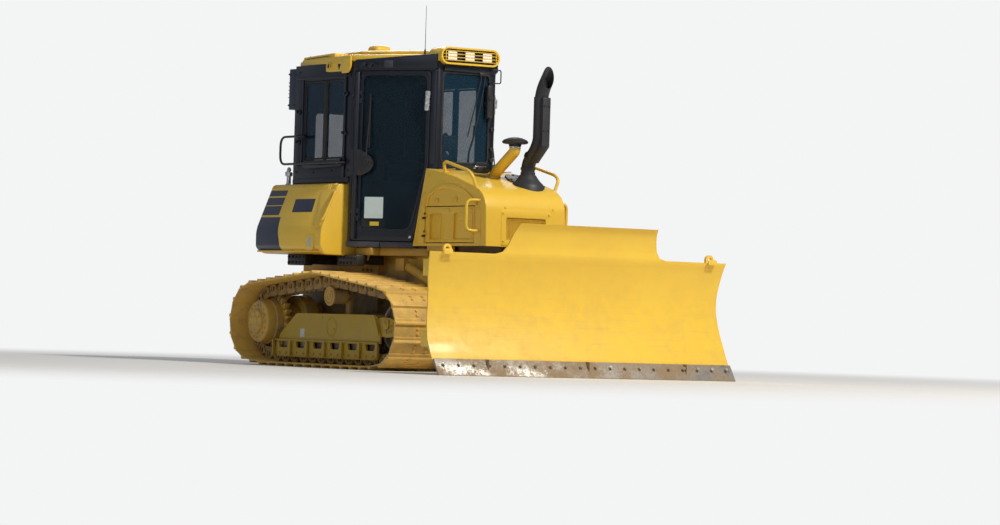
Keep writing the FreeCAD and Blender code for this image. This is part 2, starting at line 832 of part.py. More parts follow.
def lift_clevis(label):
    """Two plates and the web behind them, that hold a lift cylinder's foot on the hull."""
    inner = "-(lift_y - lift_eye_thick / 2 - lug_play)"
    outer = "-(lift_y + lift_eye_thick / 2 + lug_play)"
    x_range = ("mid + lift_base_ahead - 95", "mid + lift_base_ahead + 45")
    z_range = ("lift_base_height - 55", "lift_base_height + 55")
    return [
        box(label + "_root", x_range, (inner, "-hull_half_front"), z_range),
        box(label + "_outer", x_range, (outer + " - lug_plate", outer), z_range),
        box(label + "_web", ("mid + lift_base_ahead - 95", "mid + lift_base_ahead - 60"),
            (outer, inner), z_range),
        bar(label + "_pin", "y", ("mid + lift_base_ahead", "lift_base_height"), "cylinder_pin",
            outer, inner),
    ]


pivot_boss = bar(
    "pivot_boss", "y", ("mid + pivot_ahead", "pivot_height"), "pivot_pin * 2",
    "-arm_inner + hub_play", "-hull_half_front",
)
pivot_pin_bar = bar(
    "pivot_pin_bar", "y", ("mid + pivot_ahead", "pivot_height"), "pivot_pin",
    "-arm_outer - hub_play", "-hull_half_front",
)
pivot_cap = bar(
    "pivot_cap", "y", ("mid + pivot_ahead", "pivot_height"), "pivot_pin * 1.5",
    "-arm_outer - hub_play - 12", "-arm_outer - hub_play",
)
hull_side = join("hull_side", lift_clevis("hull_clevis") + [pivot_boss, pivot_pin_bar, pivot_cap])
hood_bearers = [
    box("hood_bearer_post", ("mid + 800", "mid + hull_front - 10"),
        ("-hull_half_front - 40", "-hull_half_front + hull_plate"), ("hull_top - 60", "hood_bottom")),
    box("hood_bearer_shelf", ("mid + 800", "mid + hull_front - 10"),
        ("-hood_half", "-hull_half_front + hull_plate"), ("hood_bottom - 45", "hood_bottom")),
]
hull_side = join("hull_side_set", [hull_side] + hood_bearers)
node("main_frame", join("hull", [
    hull_shell, engine_rails[0], engine_rails[1], hull_side, mirror("hull_side_left", hull_side),
]))

ENGINE_OUTLINE = [
    ("mid + engine_rear", "engine_seat"),
    ("mid + engine_front", "engine_seat"),
    ("mid + engine_front", "engine_high_bottom"),
    ("mid + engine_high_front", "engine_high_bottom"),
    ("mid + engine_high_front", "engine_top"),
    ("mid + engine_high_rear", "engine_top"),
    ("mid + engine_high_rear", "engine_low_top"),
    ("mid + engine_rear", "engine_low_top"),
]
node("engine_block", prism("engine", "XZ", ENGINE_OUTLINE, "-engine_half", "engine_half"))

DECK_OUTLINE = [
    ("mid - tank_rear", "-deck_half"),
    ("mid + deck_taper_start", "-deck_half"),
    ("mid + deck_front", "-deck_front_half"),
    ("mid + deck_front", "deck_front_half"),
    ("mid + deck_taper_start", "deck_half"),
    ("mid - tank_rear", "deck_half"),
]
deck_plate = prism("deck_plate", "XY", DECK_OUTLINE, "hull_top", "hull_top + deck_thick")
deck_opening = box(
    "deck_opening", ("mid + engine_rear - 60", "mid + deck_front + 10"),
    ("-engine_half - 20", "engine_half + 20"), ("hull_top", "hull_top + deck_thick"),
)
node("floor_frame", cut("deck", deck_plate, [deck_opening]))

# Drawbar: two plates with an upright pin bore between which an implement is coupled.

DRAWBAR_OUTLINE = [
    ("mid - hull_rear", "-drawbar_half * 1.6"),
    ("mid - hull_rear - drawbar_reach", "-drawbar_half"),
    ("mid - hull_rear - drawbar_reach", "drawbar_half"),
    ("mid - hull_rear", "drawbar_half * 1.6"),
]
drawbar_lower = prism(
    "drawbar_lower", "XY", DRAWBAR_OUTLINE, "drawbar_height - drawbar_gap / 2 - drawbar_plate",
    "drawbar_height - drawbar_gap / 2",
)
drawbar_upper = prism(
    "drawbar_upper", "XY", DRAWBAR_OUTLINE, "drawbar_height + drawbar_gap / 2",
    "drawbar_height + drawbar_gap / 2 + drawbar_plate",
)
drawbar_root = box(
    "drawbar_root", ("mid - hull_rear - 30", "mid - hull_rear"),
    ("-drawbar_half * 1.5", "drawbar_half * 1.5"),
    ("drawbar_height - drawbar_gap / 2 - drawbar_plate - 60",
     "drawbar_height + drawbar_gap / 2 + drawbar_plate + 60"),
)
drawbar_hole = bar(
    "drawbar_hole", "z", ("mid - hull_rear - drawbar_reach + 65", "0"), "drawbar_bore / 2",
    "drawbar_height - 200", "drawbar_height + 200",
)
node("drawbar", cut("drawbar_body", join("drawbar_plates", [
    drawbar_lower, drawbar_upper, drawbar_root,
]), [drawbar_hole]))

# Rear side tanks, which lean inwards above a crease, and the cooling housing between them.

TANK_OUTLINE = [
    ("-deck_half", "hull_top"),
    ("-tank_half + 50", "hull_top"),
    ("-tank_half", "hull_top + 60"),
    ("-tank_half", "tank_crease"),
    ("-tank_top_half", "cab_rear_floor"),
    ("-deck_half", "cab_rear_floor"),
]
tank = prism("tank", "YZ", TANK_OUTLINE, "mid - tank_rear", "mid - tank_front")
node("rear_tanks", pair("tank_pair", tank))

COOLER_Z = ("hull_top + deck_thick", "cab_rear_floor")
cooler_block = box(
    "cooler_block", ("mid - cooler_rear", "mid - cooler_front + 700"),
    ("-deck_half", "deck_half"), COOLER_Z,
)
cooler_hollow = box(
    "cooler_hollow", ("mid - cooler_rear", "mid - cooler_front"),
    ("-deck_half + cooler_wall", "deck_half - cooler_wall"),
    ("hull_top + deck_thick + cooler_wall", "cab_rear_floor - cooler_wall"),
)
grille_hinge_frame, grille_hinge_leaf = hinge(
    "grille_hinge", ("mid - cooler_rear", "deck_half - cooler_wall - grille_gap", "0"), "-90",
    "-grille_gap / 2", "25", ("cooler_middle - 170", "cooler_middle + 170"),
    "small_hinge_radius", "small_hinge_pin",
)
node("cooling_housing", cut("cooler_shell", cooler_block, [cooler_hollow]))

node("radiator", box(
    "core", ("mid - cooler_front - core_thick", "mid - cooler_front"),
    ("-deck_half + cooler_wall", "deck_half - cooler_wall"),
    ("hull_top + deck_thick + cooler_wall", "cab_rear_floor - cooler_wall"),
))

FAN_CENTRE = ("0", "cooler_middle")
FAN_X = "mid - cooler_front - core_thick - fan_gap"
fan_hub = bar("fan_hub", "x", FAN_CENTRE, "60", f"{FAN_X} - fan_thick", FAN_X)
fan_shaft = bar("fan_shaft", "x", FAN_CENTRE, "18", FAN_X, f"{FAN_X} + fan_gap - 0.3")
fan_blades = []
for index in range(int(size("fan_blades"))):
    blade_plate = doc.addObject("Part::Box", f"fan_blade_{index}")
    set_to(blade_plate, "Length", "8")
    set_to(blade_plate, "Width", "95")
    set_to(blade_plate, "Height", "fan_radius - 45")
    spin = Rotation(Vector(1, 0, 0), 360 / size("fan_blades") * index)
    pitch_turn = Rotation(Vector(0, 0, 1), 28)
    centre = Vector(size(FAN_X) - size("fan_thick") / 2, 0, size(FAN_CENTRE[1]))
    blade_plate.Placement = Placement(
        centre + spin.multVec(pitch_turn.multVec(Vector(-4, -47.5, 0)) + Vector(0, 0, 45)),
        spin.multiply(pitch_turn),
    )
    fan_blades.append(blade_plate)
node("fan", join("fan_wheel", [fan_hub, fan_shaft] + fan_blades))

grille_panel = box(
    "grille_panel", ("mid - cooler_rear", "mid - cooler_rear + grille_thick"),
    ("-deck_half + cooler_wall + grille_gap", "deck_half - cooler_wall - grille_gap"),
    ("hull_top + deck_thick + cooler_wall + grille_gap",
     "cab_rear_floor - cooler_wall - grille_gap"),
)
grille_slots = [
    box(f"grille_slot_{index}", ("mid - cooler_rear - 1", "mid - cooler_rear + grille_thick + 1"),
        ("-deck_half + 110", "deck_half - 110"),
        (f"hull_top + deck_thick + 90 + {index} * 62", f"hull_top + deck_thick + 90 + {index} * 62 + 34"))
    for index in range(7)
]
grille = cut("grille", grille_panel, grille_slots)
node("rear_grille", join("grille_set", [grille, grille_hinge_leaf]))

# Cab: a six-sided shell whose rear part stands on the housing and tanks, while its front
# part reaches down to the footwell; windows and doorways are cut through its walls.

CAB_PLAN = [
    ("mid - cab_rear", "-cab_rear_half"),
    ("mid - cab_wide_back", "-cab_wide_half"),
    ("mid + cab_front", "-cab_front_half"),
    ("mid + cab_front", "cab_front_half"),
    ("mid - cab_wide_back", "cab_wide_half"),
    ("mid - cab_rear", "cab_rear_half"),
]


WALL_PLAN = [
    ("mid - cab_rear + cab_wall", "-cab_inner_rear"),
    ("mid - cab_wide_back + cab_inner_shift", "-cab_inner_wide"),
    ("mid + cab_front - cab_wall", "-cab_inner_front"),
    ("mid + cab_front - cab_wall", "cab_inner_front"),
    ("mid - cab_wide_back + cab_inner_shift", "cab_inner_wide"),
    ("mid - cab_rear + cab_wall", "cab_inner_rear"),
]
cab_block = prism("cab_block", "XY", CAB_PLAN, "cab_floor", "cab_top")
cab_step = box(
    "cab_step", ("mid - cab_rear - 50", "mid - cab_step_back"),
    ("-cab_wide_half - 50", "cab_wide_half + 50"), ("cab_floor - 50", "cab_rear_floor"),
)
cab_room = prism("cab_room", "XY", WALL_PLAN, "cab_rear_floor + cab_wall", "cab_top + 50")
footwell = cut(
    "footwell",
    prism("footwell_block", "XY", WALL_PLAN, "cab_floor + cab_wall", "cab_rear_floor + cab_wall"),
    [box("footwell_end", ("mid - cab_rear", "mid - cab_step_back + cab_wall"),
         ("-cab_wide_half", "cab_wide_half"), ("cab_floor", "cab_rear_floor + cab_wall + 10"))],
)
cab_hollow = join("cab_hollow", [cab_room, footwell])


DOOR_BASE = ("mid - cab_wide_back", "-cab_wide_half", "0")


def door_outline(gap):
    """The doorway's outline in the door's own plane, grown by a gap all round."""
    return [
        (f"door_rear - {gap}", f"door_bottom - {gap}"),
        (f"door_foot + {gap}", f"door_bottom - {gap}"),
        (f"door_front + {gap}", f"door_knee - {gap}"),
        (f"door_front + {gap}", f"door_top + {gap}"),
        (f"door_rear - {gap}", f"door_top + {gap}"),
    ]


def door_plane_piece(label, corners, low, high):
    """A piece that lies in the right-hand door's plane, from the cab's outer face inwards."""
    return place(prism(label, "XZ", corners, low, high), DOOR_BASE, Vector(0, 0, 1), "door_turn")


doorway = door_plane_piece("doorway", door_outline("door_gap"), "-60", "cab_wall + 60")
door_hinge_frame, door_hinge_leaf = hinge(
    "door_hinge", DOOR_BASE, "door_turn", "door_rear - door_gap / 2", "17",
    ("door_bottom + 200", "door_top - 200"), "hinge_radius", "hinge_pin",
)
side_panes = []
for index in range(2):
    start = f"mid - side_pane_start + {index} * side_pane_pitch"
    side_panes.append((start, f"{start} + side_pane_length"))
pane_cuts = [
    box(f"side_pane_cut_{index}", x_range, ("-cab_wide_half - 50", "cab_wide_half + 50"),
        ("side_pane_bottom", "side_pane_top"))
    for index, x_range in enumerate(side_panes)
]
front_cut = box(
    "front_pane_cut", ("mid + cab_front - 80", "mid + cab_front + 20"),
    ("-front_pane_half", "front_pane_half"), ("front_pane_bottom", "front_pane_top"),
)
rear_cut = box(
    "rear_pane_cut", ("mid - cab_rear - 20", "mid - cab_rear + 80"),
    ("-rear_pane_half", "rear_pane_half"), ("rear_pane_bottom", "rear_pane_top"),
)
cab_walls = cut("cab_walls", cab_block, pane_cuts + [
    cab_step, cab_hollow, front_cut, rear_cut, doorway, mirror("doorway_left", doorway),
])
node("cab_frame", cab_walls)

side_glass = []
for index, (start, end) in enumerate(side_panes):
    pane = prism(f"side_pane_{index}", "XY", [
        (f"{start} + glass_play", f"-cab_rear_half - ({start} - mid + cab_rear) * "
         "(cab_wide_half - cab_rear_half) / (cab_rear - cab_wide_back) + 12"),
        (f"{end} - glass_play", f"-cab_rear_half - ({end} - mid + cab_rear) * "
         "(cab_wide_half - cab_rear_half) / (cab_rear - cab_wide_back) + 12"),
        (f"{end} - glass_play", f"-cab_rear_half - ({end} - mid + cab_rear) * "
         "(cab_wide_half - cab_rear_half) / (cab_rear - cab_wide_back) + 12 + glass_thick"),
        (f"{start} + glass_play", f"-cab_rear_half - ({start} - mid + cab_rear) * "
         "(cab_wide_half - cab_rear_half) / (cab_rear - cab_wide_back) + 12 + glass_thick"),
    ], "side_pane_bottom + glass_play", "side_pane_top - glass_play")
    side_glass += [pane, mirror(f"side_pane_left_{index}", pane)]
front_glass = box(
    "front_glass", ("mid + cab_front - 12 - glass_thick", "mid + cab_front - 12"),
    ("-front_pane_half + glass_play", "front_pane_half - glass_play"),
    ("front_pane_bottom + glass_play", "front_pane_top - glass_play"),
)
rear_glass = box(
    "rear_glass", ("mid - cab_rear + 12", "mid - cab_rear + 12 + glass_thick"),
    ("-rear_pane_half + glass_play", "rear_pane_half - glass_play"),
    ("rear_pane_bottom + glass_play", "rear_pane_top - glass_play"),
)
node("cab_glass", join("cab_panes", side_glass + [front_glass, rear_glass]))

# Doors: framed panels on hinges at the cab's widest post, each with one large pane.

DOOR_PANE = [
    ("door_rear + door_frame", "door_bottom + door_frame + 25"),
    ("door_foot - door_frame * 0.7", "door_bottom + door_frame + 25"),
    ("door_front - door_frame", "door_knee"),
    ("door_front - door_frame", "door_top - door_frame"),
    ("door_rear + door_frame", "door_top - door_frame"),
]
DOOR_GLASS = [
    ("door_rear + door_frame + glass_play", "door_bottom + door_frame + 25 + glass_play"),
    ("door_foot - door_frame * 0.7 - glass_play", "door_bottom + door_frame + 25 + glass_play"),
    ("door_front - door_frame - glass_play", "door_knee"),
    ("door_front - door_frame - glass_play", "door_top - door_frame - glass_play"),
    ("door_rear + door_frame + glass_play", "door_top - door_frame - glass_play"),
]
door_leaf = prism("door_leaf", "XZ", door_outline("0"), "0", "door_thick")
door_window = prism("door_window", "XZ", DOOR_PANE, "-20", "door_thick + 20")
door_right = place(
    cut("door_panel", door_leaf, [door_window]), DOOR_BASE, Vector(0, 0, 1), "door_turn"
)
door_glass = door_plane_piece("door_glass", DOOR_GLASS, "12", "12 + glass_thick")
door_right = join("door_right_set", [door_right, door_hinge_leaf])
node("door_right", door_right)
node("door_left", mirror("door_panel_left", door_right))
node("door_right_glass", door_glass)
node("door_left_glass", mirror("door_glass_left", door_glass))

# Roof: a flat yellow cap with a raised crown, the dome and the aerial on it, and the rear
# air unit that hangs on the cab's back wall.

ROOF_PLAN = [
    ("mid - cab_rear + roof_rear_inset", "-cab_rear_half + roof_rear_inset"),
    ("mid - cab_wide_back", "-cab_wide_half - roof_overhang"),
    ("mid + cab_front + roof_overhang", "-cab_front_half - roof_overhang"),
    ("mid + cab_front + roof_overhang", "cab_front_half + roof_overhang"),
    ("mid - cab_wide_back", "cab_wide_half + roof_overhang"),
    ("mid - cab_rear + roof_rear_inset", "cab_rear_half - roof_rear_inset"),
]
CROWN_PLAN = [
    ("mid - cab_rear + roof_crown_inset", "-cab_rear_half + roof_crown_inset"),
    ("mid - cab_wide_back", "-cab_wide_half + roof_crown_inset"),
    ("mid + lamp_box_rear", "-lamp_box_half + 40"),
    ("mid + lamp_box_rear", "lamp_box_half - 40"),
    ("mid - cab_wide_back", "cab_wide_half - roof_crown_inset"),
    ("mid - cab_rear + roof_crown_inset", "cab_rear_half - roof_crown_inset"),
]
roof_plate = prism("roof_plate", "XY", ROOF_PLAN, "cab_top", "cab_top + roof_thick")
roof_crown_plate = prism(
    "roof_crown_plate", "XY", CROWN_PLAN, "cab_top + roof_thick",
    "cab_top + roof_thick + roof_crown",
)
lamp_room = box(
    "lamp_room", ("mid + lamp_box_rear", "mid + lamp_box_front + 50"),
    ("-lamp_box_half - 60", "lamp_box_half + 60"), ("cab_top - 1", "lamp_box_top + 20"),
)
roof_cut = cut("roof_cut", join("roof_plates", [roof_plate, roof_crown_plate]), [lamp_room])
dome = bar("dome", "z", ("mid - dome_back", "-dome_side"), "dome_radius",
           "cab_top + roof_thick", "dome_top")
aerial = bar("aerial", "z", ("mid + aerial_ahead", "-aerial_side"), "aerial_radius",
             "cab_top + roof_thick", "aerial_top")
node("cab_roof", join("roof", [roof_cut, dome, aerial]))

AIR_UNIT_PLAN = [
    ("mid - cab_rear", "-rear_unit_half"),
    ("mid - cab_rear - rear_unit_depth * 0.8", "-rear_unit_half"),
    ("mid - cab_rear - rear_unit_depth", "-rear_unit_half + rear_unit_depth * 0.35"),
    ("mid - cab_rear - rear_unit_depth", "rear_unit_half - rear_unit_depth * 0.35"),
    ("mid - cab_rear - rear_unit_depth * 0.8", "rear_unit_half"),
    ("mid - cab_rear", "rear_unit_half"),
]
node("rear_air_unit", prism("air_unit", "XY", AIR_UNIT_PLAN, "rear_unit_bottom", "rear_unit_top"))

# Lamp housing over the front window, open in front, with three square lamps inside it.



def stadium(half, low, high):
    """An outline with rounded ends: half its width, and its lower and upper edges."""
    radius = f"({high} - ({low})) / 2"
    middle = f"({high} + {low}) / 2"
    corners = []
    for sign in (1, -1):
        for turn in range(-90, 91, 30):
            out = round(math.cos(math.radians(turn)), 4)
            up = round(math.sin(math.radians(turn)), 4) * sign
            corners.append((f"{sign} * ({half} - {radius} + {radius} * {out})", f"{middle} + {radius} * {up}"))
    return corners


lamp_case = prism(
    "lamp_case", "YZ", stadium("lamp_box_half", "lamp_box_bottom", "lamp_box_top"),
    "mid + lamp_box_rear", "mid + lamp_box_front",
)
lamp_under = box(
    "lamp_under", ("mid + lamp_box_rear - 1", "mid + cab_front"),
    ("-lamp_box_half - 1", "lamp_box_half + 1"), ("lamp_box_bottom - 1", "cab_top"),
)
lamp_hollow = prism(
    "lamp_hollow", "YZ", stadium("(lamp_box_half - 18)", "lamp_box_bottom + 18", "lamp_box_top - 18"),
    "mid + lamp_box_front - lamp_room_depth", "mid + lamp_box_front + 1",
)
node("lamp_housing", cut("lamp_shell", lamp_case, [lamp_under, lamp_hollow]))
node("work_lamps", join("lamps", [
    box(f"lamp_{index}", ("mid + lamp_box_front - lamp_room_depth", "mid + lamp_box_front - 20"),
        (f"({index} - 1) * lamp_pitch - lamp_half", f"({index} - 1) * lamp_pitch + lamp_half"),
        ("(lamp_box_bottom + lamp_box_top) / 2 - lamp_half * 0.8",
         "(lamp_box_bottom + lamp_box_top) / 2 + lamp_half * 0.8"))
    for index in range(3)
]))

# Seat on the rear floor, and the instrument column in the footwell.

SEAT_FLOOR = "cab_rear_floor + cab_wall"
node("seat", join("seat_body", [
    box("seat_base", ("mid - seat_back - seat_depth / 2 + 60", "mid - seat_back + seat_depth / 2 - 60"),
        ("-seat_half + 60", "seat_half - 60"), (SEAT_FLOOR, f"{SEAT_FLOOR} + seat_base_height")),
    box("seat_cushion", ("mid - seat_back - seat_depth / 2", "mid - seat_back + seat_depth / 2"),
        ("-seat_half", "seat_half"),
        (f"{SEAT_FLOOR} + seat_base_height", f"{SEAT_FLOOR} + seat_base_height + cushion_thick")),
    box("seat_rest",
        ("mid - seat_back - seat_depth / 2", "mid - seat_back - seat_depth / 2 + backrest_thick"),
        ("-seat_half", "seat_half"),
        (f"{SEAT_FLOOR} + seat_base_height + cushion_thick",
         f"{SEAT_FLOOR} + seat_base_height + cushion_thick + backrest_height")),
]))
arm_boxes = [
    box(f"armrest_{name}",
        ("mid - seat_back - 150", "mid - seat_back + 330"), sides,
        (SEAT_FLOOR, f"{SEAT_FLOOR} + 330"))
    for name, sides in (
        ("right", ("-seat_half - 190", "-seat_half - 40")),
        ("left", ("seat_half + 40", "seat_half + 190")),
    )
]
levers = [
    bar(f"lever_{name}", "z", ("mid - seat_back + 270", side), "18",
        f"{SEAT_FLOOR} + 330", f"{SEAT_FLOOR} + 490")
    for name, side in (("right", "-seat_half - 115"), ("left", "seat_half + 115"))
]
dash_column = box(
    "dash_column", ("mid + cab_front - cab_wall - console_depth", "mid + cab_front - cab_wall"),
    ("-console_half", "console_half"), ("cab_floor + cab_wall", "console_top"),
)
monitor = box(
    "monitor", ("mid + cab_front - cab_wall - 130", "mid + cab_front - cab_wall - 70"),
    ("-console_half + 20", "40"), ("console_top", "monitor_top"),
)
node("controls", join("control_set", arm_boxes + levers + [dash_column, monitor]))

# Hood: a hollow cover that slopes down from the cab to the nose, open beneath, notched
# round the cab, with an opening each side for the engine doors and one for the nose mesh.

HOOD_OUTLINE = [
    ("mid + hood_rear", "hood_bottom"),
    ("mid + hood_front", "hood_bottom"),
    ("mid + hood_front - hood_lean", "hood_nose_top"),
    ("mid + hood_front - hood_nose_set", "hood_brow"),
    ("mid + cab_front + 300", "hood_rear_top - 20"),
    ("mid + cab_front + hood_cab_gap * 2", "hood_rear_top"),
]
HOOD_HOLLOW = [
    ("mid + hood_rear - 1", "hood_bottom - 1"),
    ("mid + hood_front - hood_wall", "hood_bottom - 1"),
    ("mid + hood_front - hood_lean - hood_wall", "hood_nose_top - 8"),
    ("mid + hood_front - hood_nose_set - 10", "hood_brow - hood_wall"),
    ("mid + cab_front + 300", "hood_rear_top - 20 - hood_wall"),
    ("mid + cab_front", "hood_rear_top - hood_wall"),
    ("mid + hood_rear - 1", "hood_rear_top - hood_wall"),
]
CAB_NOTCH = [
    ("mid - cab_rear", "-cab_rear_half - 300"),
    ("mid - cab_wide_back", "-cab_wide_half - hood_cab_gap * 1.4"),
    ("mid + cab_front + hood_cab_gap", "-cab_front_half - hood_cab_gap * 0.6"),
    ("mid + cab_front + hood_cab_gap", "cab_front_half + hood_cab_gap * 0.6"),
    ("mid - cab_wide_back", "cab_wide_half + hood_cab_gap * 1.4"),
    ("mid - cab_rear", "cab_rear_half + 300"),
]


def rounded_hood():
    """The hood's outer block with its two front upright corners and top edges rounded."""
    block = prism("hood_block", "XZ", HOOD_OUTLINE, "-hood_half", "hood_half")
    doc.recompute()
    chosen = []
    for number, edge in enumerate(block.Shape.Edges, start=1):
        start, end = edge.Vertexes[0].Point, edge.Vertexes[-1].Point
        on_side = abs(abs(start.y) - size("hood_half")) < 1 and abs(start.y - end.y) < 1
        high = min(start.z, end.z) > size("hood_nose_top") - 5
        front = min(start.x, end.x) > size("mid + hood_front") - 30
        if on_side and (high or front):
            chosen.append(f"Edge{number}")
    pad = block.Tip
    rounding = block.newObject("PartDesign::Fillet", "hood_rounding")
    rounding.Base = (pad, chosen)
    set_to(rounding, "Radius", "hood_corner")
    block.Tip = rounding
    return block


hood_inner = prism(
    "hood_inner", "XZ", HOOD_HOLLOW, "-hood_half + hood_wall", "hood_half - hood_wall"
)
cab_notch = prism("cab_notch", "XY", CAB_NOTCH, "hood_bottom - 50", "hood_rear_top + 50")
side_opening = box(
    "side_opening",
    ("mid + side_door_rear - side_door_gap", "mid + side_door_front + side_door_gap"),
    ("-hood_half - 20", "hood_half + 20"),
    ("side_door_bottom - side_door_gap", "side_door_top + side_door_gap"),
)
nose_opening = box(
    "nose_opening", ("mid + hood_front - 60", "mid + hood_front + 20"), ("-240", "240"),
    ("hood_bottom + 40", "hood_bottom + 230"),
)
nose_bars = [
    box(f"nose_bar_{index}", ("mid + hood_front - hood_wall + 3", "mid + hood_front - hood_wall + 15"),
        ("-240", "240"), (f"hood_bottom + 62 + {index} * 48", f"hood_bottom + 62 + {index} * 48 + 14"))
    for index in range(4)
]
hood_block = rounded_hood()
hood_shell = cut("hood_shell", hood_block, [hood_inner, cab_notch, side_opening, nose_opening])
side_hinge_frame, side_hinge_leaf = hinge(
    "side_hinge", ("mid + side_door_rear", "-hood_half", "0"), "0", "-side_door_gap / 2", "40",
    ("side_door_bottom + 80", "side_door_top - 80"), "small_hinge_radius", "small_hinge_pin",
)
node("hood", join("hood_cover", [hood_shell] + nose_bars))

engine_door = box(
    "engine_door", ("mid + side_door_rear", "mid + side_door_front"),
    ("-hood_half", "-hood_half + side_door_thick"), ("side_door_bottom", "side_door_top"),
)
engine_door = join("engine_door_set", [engine_door, side_hinge_leaf])
node("door_hinges", join("hinge_set", [
    door_hinge_frame, mirror("door_hinge_frame_left", door_hinge_frame),
    side_hinge_frame, mirror("side_hinge_frame_left", side_hinge_frame), grille_hinge_frame,
]))
node("engine_door_right", engine_door)
node("engine_door_left", mirror("engine_door_twin", engine_door))

# Exhaust stack: a flange on the hood, and a pipe that steps forward and turns out on top.

exhaust_cone = doc.addObject("Part::Cone", "exhaust_cone")
for prop, expression in (
    ("Radius1", "exhaust_flange"), ("Radius2", "exhaust_radius + 12"),
    ("Height", "exhaust_flange_top - hood_brow - 30"),
    ("Placement.Base.x", "mid + exhaust_base_ahead"), ("Placement.Base.y", "exhaust_side"),
    ("Placement.Base.z", "hood_brow + 30"),
):
    set_to(exhaust_cone, prop, expression)
exhaust_pipe = tube_path("exhaust_pipe", [
    ("mid + exhaust_base_ahead", "hood_brow + 60"),
    ("mid + exhaust_base_ahead", "exhaust_jog_bottom"),
    ("mid + exhaust_ahead", "exhaust_jog_top"),
    ("mid + exhaust_ahead", "exhaust_bend"),
    ("mid + exhaust_ahead + 85", "exhaust_top"),
], "exhaust_side", "exhaust_radius", "110")
exhaust_solid = join("exhaust_solid", [exhaust_cone, exhaust_pipe])
node("exhaust", cut("exhaust_seated", exhaust_solid, [hood_block]))

# Air intake: an elbow out of the hood with the round pre-cleaner cap on it.

intake_pipe = tube_path("intake_pipe", [
    ("mid + intake_ahead", "hood_brow + 40"),
    ("mid + intake_ahead", "hood_rear_top"),
    ("mid + intake_cap_ahead", "hood_rear_top + 165"),
    ("mid + intake_cap_ahead", "intake_cap_bottom"),
], "intake_side", "intake_radius", "55")
intake_cap = bar(
    "intake_cap", "z", ("mid + intake_cap_ahead", "intake_side"), "intake_cap_radius",
    "intake_cap_bottom", "intake_cap_bottom + intake_cap_thick",
)
node("air_intake", cut("intake_seated", join("intake_solid", [intake_pipe, intake_cap]), [hood_block]))

# Yellow grab rails on the hood, and the black rails behind the cab doors.

hood_rail = tube_path("hood_rail", [
    ("mid + 1040", "hood_rear_top - 60"),
    ("mid + 1040", "hood_rear_top + 55"),
    ("mid + 1300", "hood_rear_top - 20"),
    ("mid + 1560", "hood_brow + 20"),
    ("mid + 1560", "hood_brow - 40"),
], "-rail_side", "rail_tube", "30")
corner_handle = place(
    tube_path("corner_handle", [
        ("-40", "corner_grab_top"), ("corner_grab_reach", "corner_grab_top"),
        ("corner_grab_reach", "corner_grab_bottom"), ("-40", "corner_grab_bottom"),
    ], "0", "grab_tube", "45"),
    ("mid + hood_front - corner_grab_back", "-hood_half", "0"), Vector(0, 0, 1), "-113",
)
node("hood_rails", pair("hood_rail_pair", cut(
    "hood_rail_seated", join("hood_rail_set", [hood_rail, corner_handle]), [hood_block],
)))

cab_rail = tube_path("cab_rail", [
    ("mid - 150", "cab_rail_low"),
    ("mid - cab_rail_rear", "cab_rail_low"),
    ("mid - cab_rail_rear", "cab_rail_high"),
    ("mid - 905", "cab_rail_high"),
], "-(cab_wide_half + 55)", "11", "40")
cab_rail_feet = [
    box(f"cab_rail_foot_{index}", (f"mid - {back} - 12", f"mid - {back} + 12"),
        ("-(cab_wide_half + 55)",
         f"-(cab_wide_half - side_lean * ({back} - 12 - cab_wide_back)) - 0.2"),
        (f"{height} - 12", f"{height} + 12"))
    for index, (back, height) in enumerate(((180, "cab_rail_low"), (920, "cab_rail_low"), (920, "cab_rail_high")))
]
node("cab_rails", pair("cab_rail_pair", join("cab_rail_set", [cab_rail] + cab_rail_feet)))

# Push frame: two arms from the hull's pivots to a cross beam, whose nose carries the yoke
# on an upright pin.

ARM_OUTLINE = [
    ("mid + pivot_ahead", "pivot_height - arm_half_height"),
    ("mid + crossbeam_rear + 40", "arm_front_height - arm_front_half"),
    ("mid + crossbeam_rear + 40", "arm_front_height + arm_front_half"),
    ("mid + pivot_ahead", "pivot_height + arm_half_height"),
]
arm = prism("arm", "XZ", ARM_OUTLINE, "-arm_outer", "-arm_inner")
arm_eye = bar(
    "arm_eye", "y", ("mid + pivot_ahead", "pivot_height"), "arm_half_height",
    "-arm_outer", "-arm_inner",
)
arm_bore = bar(
    "arm_bore", "y", ("mid + pivot_ahead", "pivot_height"), "pivot_pin + running_fit",
    "-arm_outer - 5", "-arm_inner + 5",
)


def lug_pair(label, x, z, top, y_middle, eye_thick, root):
    """Two round-topped plates that stand either side of a cylinder's eye."""
    pieces = []
    for name, sign in (("inner", 1), ("outer", -1)):
        near = f"-({y_middle}) + {sign} * (({eye_thick}) / 2 + lug_play)"
        far = f"-({y_middle}) + {sign} * (({eye_thick}) / 2 + lug_play + lug_plate)"
        low, high = (near, far) if sign > 0 else (far, near)
        pieces.append(bar(f"{label}_{name}_round", "y", (x, z), top, low, high))
        pieces.append(box(f"{label}_{name}_plate", (f"{x} - {top}", f"{x} + {top}"), (low, high), (root, z)))
    return pieces


